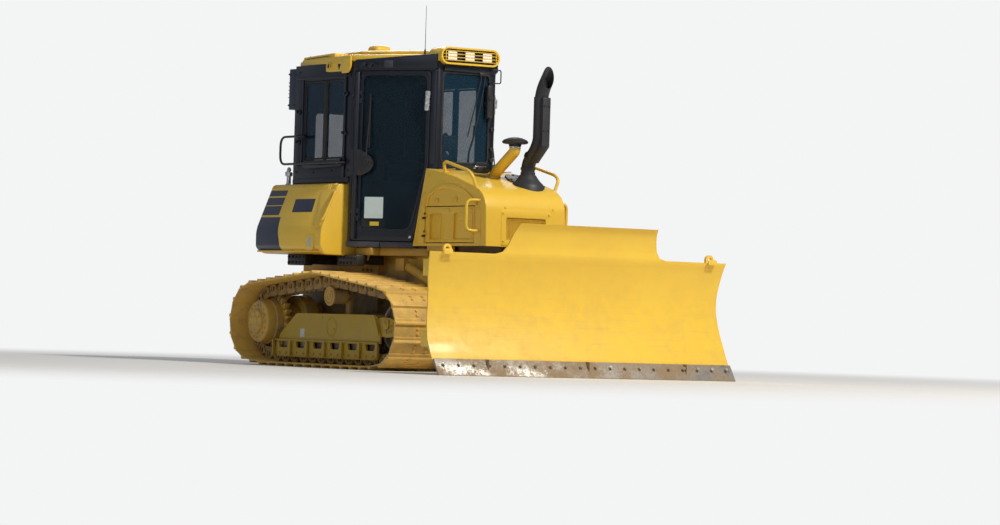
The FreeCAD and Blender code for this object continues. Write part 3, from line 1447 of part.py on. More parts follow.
lift_lugs = lug_pair(
    "lift_lug", "mid + lift_eye_ahead", "lift_eye_height", "lift_eye + 4", "lift_y", "lift_eye_thick",
    "crossbeam_top - 5",
)
TIE_X = ("mid + angle_base_ahead - tie_back", "mid + angle_base_ahead + tie_ahead")
ANGLE_LOW = "angle_height - angle_eye_thick / 2 - angle_play"
ANGLE_HIGH = "angle_height + angle_eye_thick / 2 + angle_play"
angle_foot = [
    box("angle_foot_upper", TIE_X, ("-angle_base_y - 42", "-angle_base_y + 42"),
        (ANGLE_HIGH, f"{ANGLE_HIGH} + lug_plate")),
    box("angle_foot_web",
        ("mid + angle_base_ahead - tie_back", "mid + angle_base_ahead - tie_back + 22"),
        ("-angle_base_y - 42", "-angle_base_y + 42"), (ANGLE_LOW, ANGLE_HIGH)),
    bar("angle_foot_pin", "z", ("mid + angle_base_ahead", "-angle_base_y"), "cylinder_pin",
        ANGLE_LOW, ANGLE_HIGH),
]
tie = box("tie", TIE_X, ("-arm_inner - 5", "arm_inner + 5"), ("tie_bottom", ANGLE_LOW))
half_frame = join("half_frame", [
    cut("arm_bored", join("arm_blank", [arm, arm_eye]), [arm_bore]),
] + lift_lugs + angle_foot)
crossbeam = box(
    "crossbeam", ("mid + crossbeam_rear", "mid + crossbeam_front"), ("-arm_outer", "arm_outer"),
    ("crossbeam_bottom", "crossbeam_top"),
)
NOSE_OUTLINE = [
    ("mid + crossbeam_rear + 60", "-nose_root_half"),
    ("mid + yaw_ahead", "-nose_radius"),
    ("mid + yaw_ahead", "nose_radius"),
    ("mid + crossbeam_rear + 60", "nose_root_half"),
]
nose_pieces = []
for name, low, high in (
    ("lower", "hub_bottom - hub_play - nose_plate", "hub_bottom - hub_play"),
    ("upper", "hub_top + hub_play", "hub_top + hub_play + nose_plate"),
):
    nose_pieces.append(prism(f"nose_{name}", "XY", NOSE_OUTLINE, low, high))
    nose_pieces.append(
        bar(f"nose_{name}_round", "z", ("mid + yaw_ahead", "0"), "nose_radius", low, high)
    )
nose_root = box(
    "nose_root", ("mid + crossbeam_rear + 60", "mid + crossbeam_front"),
    ("-nose_root_half", "nose_root_half"), ("crossbeam_bottom", "hub_top + hub_play + nose_plate"),
)
yaw_pin_bar = bar(
    "yaw_pin_bar", "z", ("mid + yaw_ahead", "0"), "yaw_pin",
    "hub_bottom - hub_play - nose_plate", "hub_top + hub_play + nose_plate",
)
node("push_frame", join("push_frame_body", [
    half_frame, mirror("half_frame_left", half_frame), tie, crossbeam, nose_root, yaw_pin_bar,
] + nose_pieces))

# Yoke: the beam that turns on the push frame's nose. The blade tilts on its pin, and the
# angle cylinders push on its ends.

yoke_hub = bar("yoke_hub", "z", ("mid + yaw_ahead", "0"), "nose_radius - 5", "hub_bottom", "hub_top")
yoke_bore = bar(
    "yoke_bore", "z", ("mid + yaw_ahead", "0"), "yaw_pin + running_fit",
    "hub_bottom - 5", "hub_top + 5",
)
yoke_beam = box(
    "yoke_beam", ("mid + yoke_beam_rear", "mid + yoke_beam_front"),
    ("-yoke_beam_half", "yoke_beam_half"), ("hub_bottom", "hub_top"),
)
tilt_pin_bar = bar(
    "tilt_pin_bar", "x", ("0", "tilt_axis_height"), "tilt_pin",
    "mid + yoke_beam_front", "mid + tilt_pin_end",
)
angle_pads = []
for name, sign in (("right", -1), ("left", 1)):
    middle = f"{sign} * angle_eye_y"
    angle_pads += [
        box(f"angle_pad_lower_{name}", ("mid + angle_eye_ahead - 40", "mid + angle_eye_ahead + 95"),
            (f"{middle} - 42", f"{middle} + 42"),
            ("hub_top", ANGLE_LOW)),
        box(f"angle_pad_upper_{name}", ("mid + angle_eye_ahead - 40", "mid + angle_eye_ahead + 95"),
            (f"{middle} - 42", f"{middle} + 42"),
            (ANGLE_HIGH, f"{ANGLE_HIGH} + lug_plate")),
        box(f"angle_pad_web_{name}", ("mid + angle_eye_ahead + 83", "mid + angle_eye_ahead + 95"),
            (f"{middle} - 42", f"{middle} + 42"),
            ("hub_top - 40", f"{ANGLE_HIGH} + lug_plate")),
    ]
tilt_base = ("mid + tilt_cylinder_ahead", "-tilt_tower_side")
tilt_tower = [
    box("tilt_tower_rear",
        ("mid + tilt_cylinder_ahead - tilt_eye_thick / 2 - 5 - lug_plate * 1.5",
         "mid + tilt_cylinder_ahead - tilt_eye_thick / 2 - 5"),
        ("-tilt_tower_side - 60", "-tilt_tower_side + 45"),
        ("hub_top", "tilt_cylinder_height + 45")),
    box("tilt_tower_front",
        ("mid + tilt_cylinder_ahead + tilt_eye_thick / 2 + 5",
         "mid + tilt_cylinder_ahead + tilt_eye_thick / 2 + 5 + lug_plate"),
        ("-tilt_tower_side - 60", "-tilt_tower_side + 45"),
        ("hub_top", "tilt_cylinder_height + 45")),
    box("tilt_tower_web",
        ("mid + tilt_cylinder_ahead - tilt_eye_thick / 2 - 5",
         "mid + tilt_cylinder_ahead + tilt_eye_thick / 2 + 5"),
        ("-tilt_tower_side - 60", "-tilt_tower_side + 45"),
        ("hub_top", "tilt_cylinder_height - 75")),
    bar("tilt_tower_pin", "x", ("-tilt_tower_side", "tilt_cylinder_height"), "cylinder_pin",
        "mid + tilt_cylinder_ahead - tilt_eye_thick / 2 - 5",
        "mid + tilt_cylinder_ahead + tilt_eye_thick / 2 + 5"),
]
node("blade_yoke", cut("yoke_body", join("yoke_blank", [
    yoke_hub, yoke_beam, tilt_pin_bar,
] + angle_pads + tilt_tower), [yoke_bore]))

# Blade: a curved plate, wider at its corners than at its waist, with a raised guard in the
# middle, box stiffeners, ribs, the tilt boss, and a lifting eye near each top corner.

blade_ring = cut("blade_ring", bar(
    "blade_outer", "y", ("mid + blade_centre", "blade_waist"), "blade_radius + blade_skin",
    "-blade_half - 50", "blade_half + 50",
), [bar(
    "blade_inner", "y", ("mid + blade_centre", "blade_waist"), "blade_radius",
    "-blade_half - 60", "blade_half + 60",
)])
BLADE_FRONT = [
    ("-blade_half", "blade_foot"),
    ("blade_half", "blade_foot"),
    ("blade_half", "blade_foot + 160"),
    ("blade_waist_half", "blade_waist - 60"),
    ("blade_waist_half", "blade_waist + 60"),
    ("blade_half", "blade_top"),
    ("blade_guard_root", "blade_top"),
    ("blade_guard_root - guard_run * 0.4", "blade_top + guard_rise * 0.07"),
    ("blade_guard_root - guard_run * 0.65", "blade_top + guard_rise * 0.27"),
    ("blade_guard_half", "blade_guard_top"),
    ("-blade_guard_half", "blade_guard_top"),
    ("-blade_guard_root + guard_run * 0.65", "blade_top + guard_rise * 0.27"),
    ("-blade_guard_root + guard_run * 0.4", "blade_top + guard_rise * 0.07"),
    ("-blade_guard_root", "blade_top"),
    ("-blade_half", "blade_top"),
    ("-blade_waist_half", "blade_waist + 60"),
    ("-blade_waist_half", "blade_waist - 60"),
    ("-blade_half", "blade_foot + 160"),
]
blade_front = prism(
    "blade_front", "YZ", BLADE_FRONT, "mid + blade_back - 100", "mid + blade_centre - 200"
)
blade_skin_plate = doc.addObject("Part::Common", "blade_skin_plate")
blade_skin_plate.Base = blade_ring
blade_skin_plate.Tool = blade_front

STIFFENER_DEPTH = "mid + blade_back - blade_box_depth"
stiffeners = []
for name, height in (("upper", "blade_upper_box"), ("lower", "blade_lower_box")):
    stiffeners.append(
        box(f"stiffener_{name}", (STIFFENER_DEPTH, "mid + blade_centre"),
            ("-blade_waist_half + 10", "blade_waist_half - 10"),
            (f"{height} - blade_box_half", f"{height} + blade_box_half"))
    )
for index in range(7):
    if index != 3:
        middle = f"({index} - 3) * rib_pitch * 0.93"
        stiffeners.append(
            box(f"rib_{index}", (f"{STIFFENER_DEPTH} - 40", "mid + blade_centre"),
                (f"{middle} - rib_thick / 2", f"{middle} + rib_thick / 2"),
                ("blade_foot + 40", "blade_upper_box + blade_box_half"))
        )
boss_block = box(
    "boss_block", ("mid + tilt_boss_rear + 60", "mid + blade_centre"),
    ("-tilt_boss_radius", "tilt_boss_radius"),
    ("tilt_axis_height - tilt_boss_radius", "tilt_axis_height + tilt_boss_radius"),
)
boss_round = bar(
    "boss_round", "x", ("0", "tilt_axis_height"), "tilt_boss_radius", "mid + tilt_boss_rear",
    "mid + tilt_boss_rear + 80",
)
boss_bore = bar(
    "boss_bore", "x", ("0", "tilt_axis_height"), "tilt_pin + running_fit",
    "mid + tilt_boss_rear - 5", "mid + tilt_pin_end + 5",
)
TILT_EYE_Y = "(tilt_reach - tilt_tower_side)"
tilt_arm = [
    box("tilt_arm_beam",
        ("mid + tilt_cylinder_ahead + tilt_eye_thick / 2 + 5", "mid + blade_centre"),
        (f"{TILT_EYE_Y} - 40", f"{TILT_EYE_Y} + 70"),
        ("tilt_cylinder_height - 45", "tilt_cylinder_height + 45")),
    box("tilt_arm_rear",
        ("mid + tilt_cylinder_ahead - tilt_eye_thick / 2 - 5 - lug_plate",
         "mid + tilt_cylinder_ahead - tilt_eye_thick / 2 - 5"),
        (f"{TILT_EYE_Y} - 40", f"{TILT_EYE_Y} + 70"),
        ("tilt_cylinder_height - 45", "tilt_cylinder_height + 45")),
    box("tilt_arm_web",
        ("mid + tilt_cylinder_ahead - tilt_eye_thick / 2 - 5",
         "mid + tilt_cylinder_ahead + tilt_eye_thick / 2 + 5"),
        (f"{TILT_EYE_Y} + 50", f"{TILT_EYE_Y} + 70"),
        ("tilt_cylinder_height - 45", "tilt_cylinder_height + 45")),
]
front_space = bar(
    "front_space", "y", ("mid + blade_centre", "blade_waist"), "blade_radius",
    "-blade_half - 70", "blade_half + 70",
)
blade_back_work = cut(
    "blade_back_work", join("blade_back_blank", stiffeners + [boss_block, boss_round] + tilt_arm),
    [front_space, boss_bore],
)
EYE_X = "mid + blade_centre - sqrt(blade_radius ^ 2 - (blade_top - blade_waist) ^ 2) - blade_skin"
eye_y = "-blade_half + eye_inset"
blade_eye = join("blade_eye_right", [
    bar("blade_eye_round", "x", (eye_y, "blade_top + 26"), "eye_radius",
        f"{EYE_X} - 18", f"{EYE_X} + 6"),
    box("blade_eye_root", (f"{EYE_X} - 18", f"{EYE_X} + 6"),
        (f"{eye_y} - eye_radius", f"{eye_y} + eye_radius"), ("blade_top - 60", "blade_top + 26")),
])
eye_hole = bar(
    "eye_hole", "x", (eye_y, "blade_top + 26"), "eye_bore / 2", f"{EYE_X} - 25", f"{EYE_X} + 15",
)
eye_blank = join("eye_blank", [blade_eye, mirror("blade_eye_left", blade_eye)])
node("blade", cut("blade_finished", join("blade_blank", [
    blade_skin_plate, blade_back_work, eye_blank,
]), [eye_hole, mirror("eye_hole_left", eye_hole)]))

EDGE_OUTLINE = [
    ("mid + foot_ahead", "blade_foot"),
    ("mid + foot_ahead + edge_run", "blade_foot - edge_drop"),
    ("mid + foot_ahead + edge_run + edge_thick * edge_upright",
     "blade_foot - edge_drop + edge_thick * edge_lean"),
    ("mid + foot_ahead + edge_thick * edge_upright", "blade_foot + edge_thick * edge_lean"),
]
node("cutting_edge", prism("edge", "XZ", EDGE_OUTLINE, "-blade_half", "blade_half"))

# Hydraulic cylinders: each barrel turns on its foot pin, and its rod slides in its bore.
# The rod's eye stands between its two lug plates with room at each side.


def cylinder(name, along, eye_axis, eye, eye_thick, barrel, rod, barrel_length, rod_length, reach):
    """A barrel and its rod along one axis from the foot pin at the local origin."""
    cross = ("0", "0")
    half = f"({eye_thick}) / 2"
    spot = (reach, "0")
    foot_eye = bar(name + "_foot_eye", eye_axis, cross, eye, f"-{half}", half)
    neck = bar(name + "_neck", along, cross, f"{half} - 3", f"({eye}) * 0.5", "neck_length + 5")
    body = bar(name + "_barrel_body", along, cross, barrel, "neck_length", barrel_length)
    gland = bar(
        name + "_gland", along, cross, f"({barrel}) * 1.06", f"({barrel_length}) - 55",
        barrel_length,
    )
    bore = bar(
        name + "_bore", along, cross, f"({rod}) + running_fit", "neck_length + 20",
        f"({barrel_length}) + 1",
    )
    pin_hole = bar(
        name + "_pin_hole", eye_axis, cross, "cylinder_pin + running_fit", f"-({barrel}) - 10",
        f"({barrel}) + 10",
    )
    barrel_body = cut(name + "_barrel", join(name + "_barrel_blank", [foot_eye, neck, body, gland]), [bore, pin_hole])
    shaft = bar(
        name + "_shaft", along, cross, rod, f"({reach}) - ({rod_length})", f"({reach}) - ({eye}) * 0.5"
    )
    rod_eye = bar(name + "_rod_eye", eye_axis, spot, eye, f"-{half}", half)
    rod_body = join(name + "_rod", [shaft, rod_eye])
    return barrel_body, rod_body


lift = cylinder(
    "lift", "x", "y", "lift_eye", "lift_eye_thick", "lift_barrel", "lift_rod",
    "lift_barrel_length", "lift_rod_length", "lift_reach",
)
for part_name, piece in zip(("barrel", "rod"), lift):
    place(piece, ("mid + lift_base_ahead", "-lift_y", "lift_base_height"), Vector(0, 1, 0), "lift_slope")
    node(f"lift_{part_name}_right", piece)
    node(f"lift_{part_name}_left", mirror(f"lift_{part_name}_twin", piece))

angle = cylinder(
    "angle", "x", "z", "angle_eye", "angle_eye_thick", "angle_barrel", "angle_rod",
    "angle_barrel_length", "angle_rod_length", "angle_reach",
)
for part_name, piece in zip(("barrel", "rod"), angle):
    place(piece, ("mid + angle_base_ahead", "-angle_base_y", "angle_height"), Vector(0, 0, 1), "-angle_slope")
    node(f"angle_{part_name}_right", piece)
    node(f"angle_{part_name}_left", mirror(f"angle_{part_name}_twin", piece))

tilt = cylinder(
    "tilt", "y", "x", "tilt_eye", "tilt_eye_thick", "tilt_barrel", "tilt_rod",
    "tilt_barrel_length", "tilt_rod_length", "tilt_reach",
)
for part_name, piece in zip(("barrel", "rod"), tilt):
    for axis_name, expression in zip("xyz", tilt_base + ("tilt_cylinder_height",)):
        set_to(piece, "Placement.Base." + axis_name, expression)
    node(f"tilt_{part_name}", piece)

doc.recompute()

# Every object has to be sound before any file is written.

for item in doc.Objects:
    bad = {"Invalid", "Error"} & set(item.State)
    if bad:
        raise RuntimeError(f"{item.Label}: {sorted(bad)}")
for name, item in nodes.items():
    if item.Shape.isNull() or not item.Shape.isValid() or not item.Shape.Solids:
        raise RuntimeError(f"{name}: no valid solid")

os.makedirs("parts", exist_ok=True)
for name, item in nodes.items():
    item.Shape.exportStep(os.path.join("parts", name + ".step"))
print(len(nodes), "pieces written")
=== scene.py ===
import math
import bmesh
import bpy
from mathutils import Matrix, Vector


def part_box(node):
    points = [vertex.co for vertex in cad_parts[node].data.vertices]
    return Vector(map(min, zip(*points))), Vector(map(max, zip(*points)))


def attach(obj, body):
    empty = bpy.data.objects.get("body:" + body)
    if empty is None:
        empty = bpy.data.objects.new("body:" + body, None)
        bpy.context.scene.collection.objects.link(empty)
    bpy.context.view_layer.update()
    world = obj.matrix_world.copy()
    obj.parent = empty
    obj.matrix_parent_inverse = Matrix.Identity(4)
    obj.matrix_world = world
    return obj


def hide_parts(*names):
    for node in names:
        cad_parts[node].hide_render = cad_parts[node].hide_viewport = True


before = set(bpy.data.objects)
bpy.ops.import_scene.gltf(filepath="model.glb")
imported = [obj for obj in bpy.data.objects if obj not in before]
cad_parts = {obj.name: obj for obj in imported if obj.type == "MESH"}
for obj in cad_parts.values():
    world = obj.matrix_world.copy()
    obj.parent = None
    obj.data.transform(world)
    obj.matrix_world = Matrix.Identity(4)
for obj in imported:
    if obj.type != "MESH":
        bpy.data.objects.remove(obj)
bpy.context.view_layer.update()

# Tracks. Each is an endless chain of forged links on pins, with a wide rolled shoe bolted to
# every pair of links. The shoes are painted, but wear has dulled them.
#
# All sizes are in metres. Places along the machine are measured from the middle of its
# tracks, which the sprockets' place in the frame gives.
sprocket_x, sprocket_z = -1.145, 0.40
mid = sum(corner.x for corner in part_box("sprockets")) / 2 - sprocket_x


class Shade:
    """One socket of a material, which can be used in sums with numbers and other sockets."""

    def __init__(self, tree, socket=None):
        self.tree, self.socket = tree, socket

    def node(self, kind, settings=None, sockets=None, out=0):
        """Makes any node: its settings first, then the values or links of its sockets."""
        made = self.tree.nodes.new("ShaderNode" + kind)
        for name, value in (settings or {}).items():
            if name == "stops":
                for _ in value[2:]:
                    made.color_ramp.elements.new(0.5)
                for stop, (place, colour) in zip(made.color_ramp.elements, value):
                    stop.position, stop.color = place, (*colour, 1)
            else:
                setattr(made, name, value)
        plug(made, sockets or {})
        return Shade(self.tree, made.outputs[out])

    def maths(self, operation, *terms):
        return self.node("Math", {"operation": operation}, dict(enumerate(terms)))

    def __add__(self, other):
        return self.maths("ADD", self, other)

    def __sub__(self, other):
        return self.maths("SUBTRACT", self, other)

    def __rsub__(self, other):
        return self.maths("SUBTRACT", other, self)

    def __mul__(self, other):
        return self.maths("MULTIPLY", self, other)

    __radd__ = __add__
    __rmul__ = __mul__

    def ramp(self, low, high):
        """0 below low, 1 above high, and a soft rise between them."""
        return self.node("MapRange", {"interpolation_type": "SMOOTHSTEP"},
                         {"Value": self, "From Min": low, "From Max": high})

    def between(self, low, high, soft=0.0015):
        """1 from low to high, 0 outside; low and high may themselves vary."""
        return (self - low).ramp(-soft, soft) * (1 - (self - high).ramp(-soft, soft))

    def speckle(self, place, scale, detail=4.0, rough=0.55):
        return self.node("TexNoise", None, {"Vector": place, "Scale": scale, "Detail": detail,
                                            "Roughness": rough})

    def blend(self, amount, colour, other):
        colour, other = ((*c, 1) if isinstance(c, tuple) else c for c in (colour, other))
        return self.node("Mix", {"data_type": "RGBA"}, {0: amount, 6: colour, 7: other}, out=2)


def plug(node, sockets):
    """Links or sets sockets of a node, each by its name or number."""
    for name, value in sockets.items():
        if isinstance(value, Shade):
            value.tree.links.new(value.socket, node.inputs[name])
        else:
            node.inputs[name].default_value = value


def new_finish(name):
    """A material to fill in: itself, its shader, a start for its sums, the place on the piece."""
    made = bpy.data.materials.new(name)
    made.use_nodes = True
    mix = Shade(made.node_tree)
    return made, made.node_tree.nodes["Principled BSDF"], mix, mix.node("TexCoord", out=3)


DUST = (0.43, 0.30, 0.155)


def enamel(name, colour, dust=0.25, rough=0.36, gloss=0.25, chips=0.0, bare=(0.13, 0.10, 0.075), low=1.2,
           marks=None):
    """Sprayed machine enamel: slightly uneven, dusty towards the ground, chipped where it wears."""
    paint, shader, mix, place = new_finish(name)
    x, y, height = (mix.node("SeparateXYZ", None, {0: place}, out=axis) for axis in range(3))
    cloud = mix.speckle(place, 2.3, 3.0)
    grime = mix.speckle(place, 11.0, 7.0, 0.62)
    grain = mix.speckle(place, 90.0, 3.0)
    settled = (1 - height.ramp(0.1, low)) * 0.75 + 0.25
    dusty = (grime * 0.6 + cloud * 0.4 + grain * 0.12).ramp(0.46, 0.74) * settled * dust
    shade_of = tuple(c * f for c, f in zip(colour, (0.86, 0.78, 0.7)))
    tone = mix.blend(cloud.ramp(0.3, 0.7) * 0.16, colour, shade_of)
    for mask, other in marks(x - mid, y, height) if marks else ():
        tone = mix.blend(mask, tone, other)
    tone = mix.blend(dusty, tone, DUST)
    skin = grain * 0.12 + cloud * 0.5 + grime * 0.1
    gloss_loss = dusty * 0.5 + grime.ramp(0.35, 0.75) * 0.07 + rough
    if chips:
        worn = (grime * 0.55 + grain * 0.5).ramp(0.70 - 0.1 * chips, 0.73 - 0.1 * chips)
        tone = mix.blend(worn * min(1.0, chips * 2), tone, bare)
        skin = skin - worn * 0.25
        gloss_loss = gloss_loss + worn * 0.2
    bump = mix.node("Bump", None, {"Height": skin, "Strength": 0.12, "Distance": 0.004})
    plug(shader, {"Base Color": tone, "Roughness": gloss_loss, "Normal": bump,
                  "Coat Weight": gloss, "Coat Roughness": 0.12})
    return paint


def both_sides(bm):
    """Adds the mirror image on the machine's other side."""
    mesh = bpy.data.meshes.new("shape")
    bm.to_mesh(mesh)
    mesh.transform(Matrix.Scale(-1, 4, LEFT))
    mesh.flip_normals()
    bm.from_mesh(mesh)
    bpy.data.meshes.remove(mesh)


def other_side(bm):
    """The mirror image alone, as a new shape."""
    twin = bm.copy()
    bmesh.ops.scale(twin, verts=twin.verts, vec=(1, -1, 1))
    bmesh.ops.reverse_faces(twin, faces=twin.faces)
    return twin


def fit(name, bm, finish, body="chassis", stands_for=(), twin=False, crease=32):
    """Makes one piece of the machine: moves it to its place, coats it and fixes it to its body."""
    if twin:
        both_sides(bm)
    mesh = bpy.data.meshes.new(name)
    bmesh.ops.translate(bm, verts=bm.verts, vec=(mid, 0, 0))
    bm.to_mesh(mesh)
    bm.free()
    mesh.shade_smooth()
    mesh.set_sharp_from_angle(angle=math.radians(crease))
    piece = bpy.data.objects.new(name, mesh)
    bpy.context.scene.collection.objects.link(piece)
    mesh.materials.append(finish)
    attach(piece, body)
    if stands_for:
        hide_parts(*stands_for)


def axes(*directions):
    """A turn that brings the x, y and z axes onto three directions."""
    return Matrix([Vector(direction) for direction in directions]).transposed().to_4x4()


def put(bm, part, place=Matrix()):
    """Adds a finished small shape to a larger one, at a place, and uses it up."""
    mesh = bpy.data.meshes.new("shape")
    part.to_mesh(mesh)
    part.free()
    mesh.transform(place)
    bm.from_mesh(mesh)
    bpy.data.meshes.remove(mesh)


def ease(part, edges, amount, segments=2):
    bmesh.ops.bevel(part, geom=edges, offset=amount, offset_type="OFFSET", segments=segments,
                    profile=0.5, affect="EDGES", clamp_overlap=True, material=-1)


def block(low, high, rounding=0.003, segments=2):
    """A rectangular piece between two corners, its edges eased."""
    part = bmesh.new()
    bmesh.ops.create_cube(part, size=1)
    size = [b - a for a, b in zip(low, high)]
    bmesh.ops.scale(part, verts=part.verts, vec=size)
    bmesh.ops.translate(part, verts=part.verts, vec=[(a + b) / 2 for a, b in zip(low, high)])
    if rounding:
        ease(part, part.edges[:], min(rounding, min(abs(s) for s in size) * 0.45), segments)
    return part


# The plane that an outline is drawn on, named by the direction in which it is then thickened.
LAY = {
    "x": Matrix(((0, 0, 1, 0), (1, 0, 0, 0), (0, 1, 0, 0), (0, 0, 0, 1))),
    "y": Matrix(((1, 0, 0, 0), (0, 0, 1, 0), (0, 1, 0, 0), (0, 0, 0, 1))),
    "z": Matrix(),
}


def oblong(left, low, right, high, corner=None):
    """A rectangle's outline, with the radius of its corners."""
    spots = [(left, low), (right, low), (right, high), (left, high)]
    return spots if corner is None else [(*spot, corner) for spot in spots]


def plate(outline, low, high, lay="y", corner=0.0, holes=(), rounding=0.002, steps=6):
    """A plate cut to an outline, with holes. A corner's third number is its own radius."""
    part = bmesh.new()
    for points in [outline, *holes]:
        ring = [(part.verts.new((*point[:2], 0)), point[2] if len(point) > 2 else corner)
                for point in points]
        part.faces.new([vert for vert, radius in ring])
        for radius in sorted({radius for vert, radius in ring if radius}):
            bmesh.ops.bevel(part, geom=[vert for vert, own in ring if own == radius], offset=radius,
                            offset_type="OFFSET", segments=steps, profile=0.5, affect="VERTICES",
                            clamp_overlap=True, material=-1)
    if holes:
        bmesh.ops.delete(part, geom=part.faces[:], context="FACES_ONLY")
        bmesh.ops.triangle_fill(part, edges=part.edges[:], use_beauty=True)
    raised = bmesh.ops.extrude_face_region(part, geom=part.faces[:])["geom"]
    top = [g for g in raised if isinstance(g, bmesh.types.BMVert)]
    bmesh.ops.translate(part, verts=top, vec=(0, 0, high - low))
    bmesh.ops.recalc_face_normals(part, faces=part.faces)
    if rounding:
        part.normal_update()
        sharp = [e for e in part.edges if len(e.link_faces) == 2 and e.calc_face_angle(0) > 0.9]
        ease(part, sharp, rounding)
    bmesh.ops.translate(part, verts=part.verts, vec=(0, 0, low))
    bmesh.ops.transform(part, matrix=LAY[lay], verts=part.verts)
    bmesh.ops.recalc_face_normals(part, faces=part.faces)
    return part


def bar(start, end, radius, far_radius=None, sides=20, rounding=0.0015):
    """A round bar or a cone between two places."""
    start, end = Vector(start), Vector(end)
    part = bmesh.new()
    bmesh.ops.create_cone(part, cap_ends=True, segments=sides, radius1=radius,
                          radius2=radius if far_radius is None else far_radius,
                          depth=(end - start).length)
    if rounding:
        ease(part, [e for e in part.edges if e.calc_face_angle(0) > 1], rounding)
    turn = Vector(UP).rotation_difference(end - start).to_matrix().to_4x4()
    bmesh.ops.transform(part, matrix=Matrix.Translation((start + end) / 2) @ turn, verts=part.verts)
    return part


def hexagon_bolt(radius=0.013, height=0.009):
    """A bolt's six-sided head on its washer, standing up from the origin."""
    part = bmesh.new()
    bmesh.ops.create_cone(part, cap_ends=True, segments=12, radius1=radius * 1.35, radius2=radius * 1.3,
                          depth=height * 0.3, matrix=Matrix.Translation((0, 0, height * 0.15)))
    bmesh.ops.create_cone(part, cap_ends=True, segments=6, radius1=radius, radius2=radius * 0.92,
                          depth=height, matrix=Matrix.Translation((0, 0, height * 0.7)))
    return part


UP, AHEAD, BEHIND, LEFT, RIGHT = (0, 0, 1), (1, 0, 0), (-1, 0, 0), (0, 1, 0), (0, -1, 0)


def facing(place, direction):
    """Where to set a shape down so that its top looks in a direction."""
    turn = Vector(UP).rotation_difference(Vector(direction)).to_matrix().to_4x4()
    return Matrix.Translation(place) @ turn


def bolts(bm, places, direction, radius=0.013, height=0.009):
    for place in places:
        put(bm, hexagon_bolt(radius, height), facing(place, direction))


# The chain runs over these wheels: where each one's centre is, and the radius that its rail
# of links runs on. The first and the last stand for the end rollers.
shoe_count, link_height, chain_y = 41, 0.113, 0.825
idler_x, idler_z = 1.09, 0.38
carrier_x, carrier_z = -0.02, 0.648
roller_z, roller_end, roller_pitch = 0.217, 0.88, 0.306
wheels = [(roller_end, roller_z, 0.07), (idler_x, idler_z, 0.223), (carrier_x, carrier_z, 0.087),
          (sprocket_x, sprocket_z, 0.229), (-roller_end, roller_z, 0.07)]


def chain_line():
    """The closed line of the shoes' inner faces: its straight runs and the arcs on its wheels."""
    rings = [(Vector((x, 0, z)), rail + link_height) for x, z, rail in wheels]
    runs = []
    for (start, start_radius), (end, end_radius) in zip(rings, rings[1:] + rings[:1]):
        span = end - start
        along = span.normalized()
        side = Vector((along.z, 0, -along.x))
        lean = (start_radius - end_radius) / span.length
        outward = along * lean + side * math.sqrt(1 - lean * lean)
        runs.append((start + outward * start_radius, end + outward * end_radius, outward))
    line = []
    for index, (leave, arrive, outward) in enumerate(runs):
        centre, radius = rings[(index + 1) % len(rings)]
        next_outward = runs[(index + 1) % len(runs)][2]
        line.append((leave, arrive, None, 0, (arrive - leave).length))
        swing = math.acos(max(-1, min(1, outward.dot(next_outward))))
        line.append((arrive, None, centre, swing, swing * radius))
    return line


def along_chain(line, distance):
    for start, end, centre, swing, length in line:
        if distance <= length:
            if end is not None:
                return start.lerp(end, distance / length)
            return centre + Matrix.Rotation(-swing * distance / length, 3, "Y") @ (start - centre)
        distance -= length
    return line[0][0].copy()


line = chain_line()
pitch = sum(run[-1] for run in line) / shoe_count
joints = [along_chain(line, pitch * index) for index in range(shoe_count)]

shoe_paint = enamel("shoe_paint", (0.80, 0.50, 0.09), dust=0.65, rough=0.5, gloss=0.0, chips=0.4,
                    bare=(0.24, 0.17, 0.09), low=2.5)
chain_steel = enamel("chain_steel", (0.30, 0.185, 0.045), dust=1.0, rough=0.55, gloss=0.0, chips=1.2,
                     bare=(0.10, 0.085, 0.07), low=2.0)

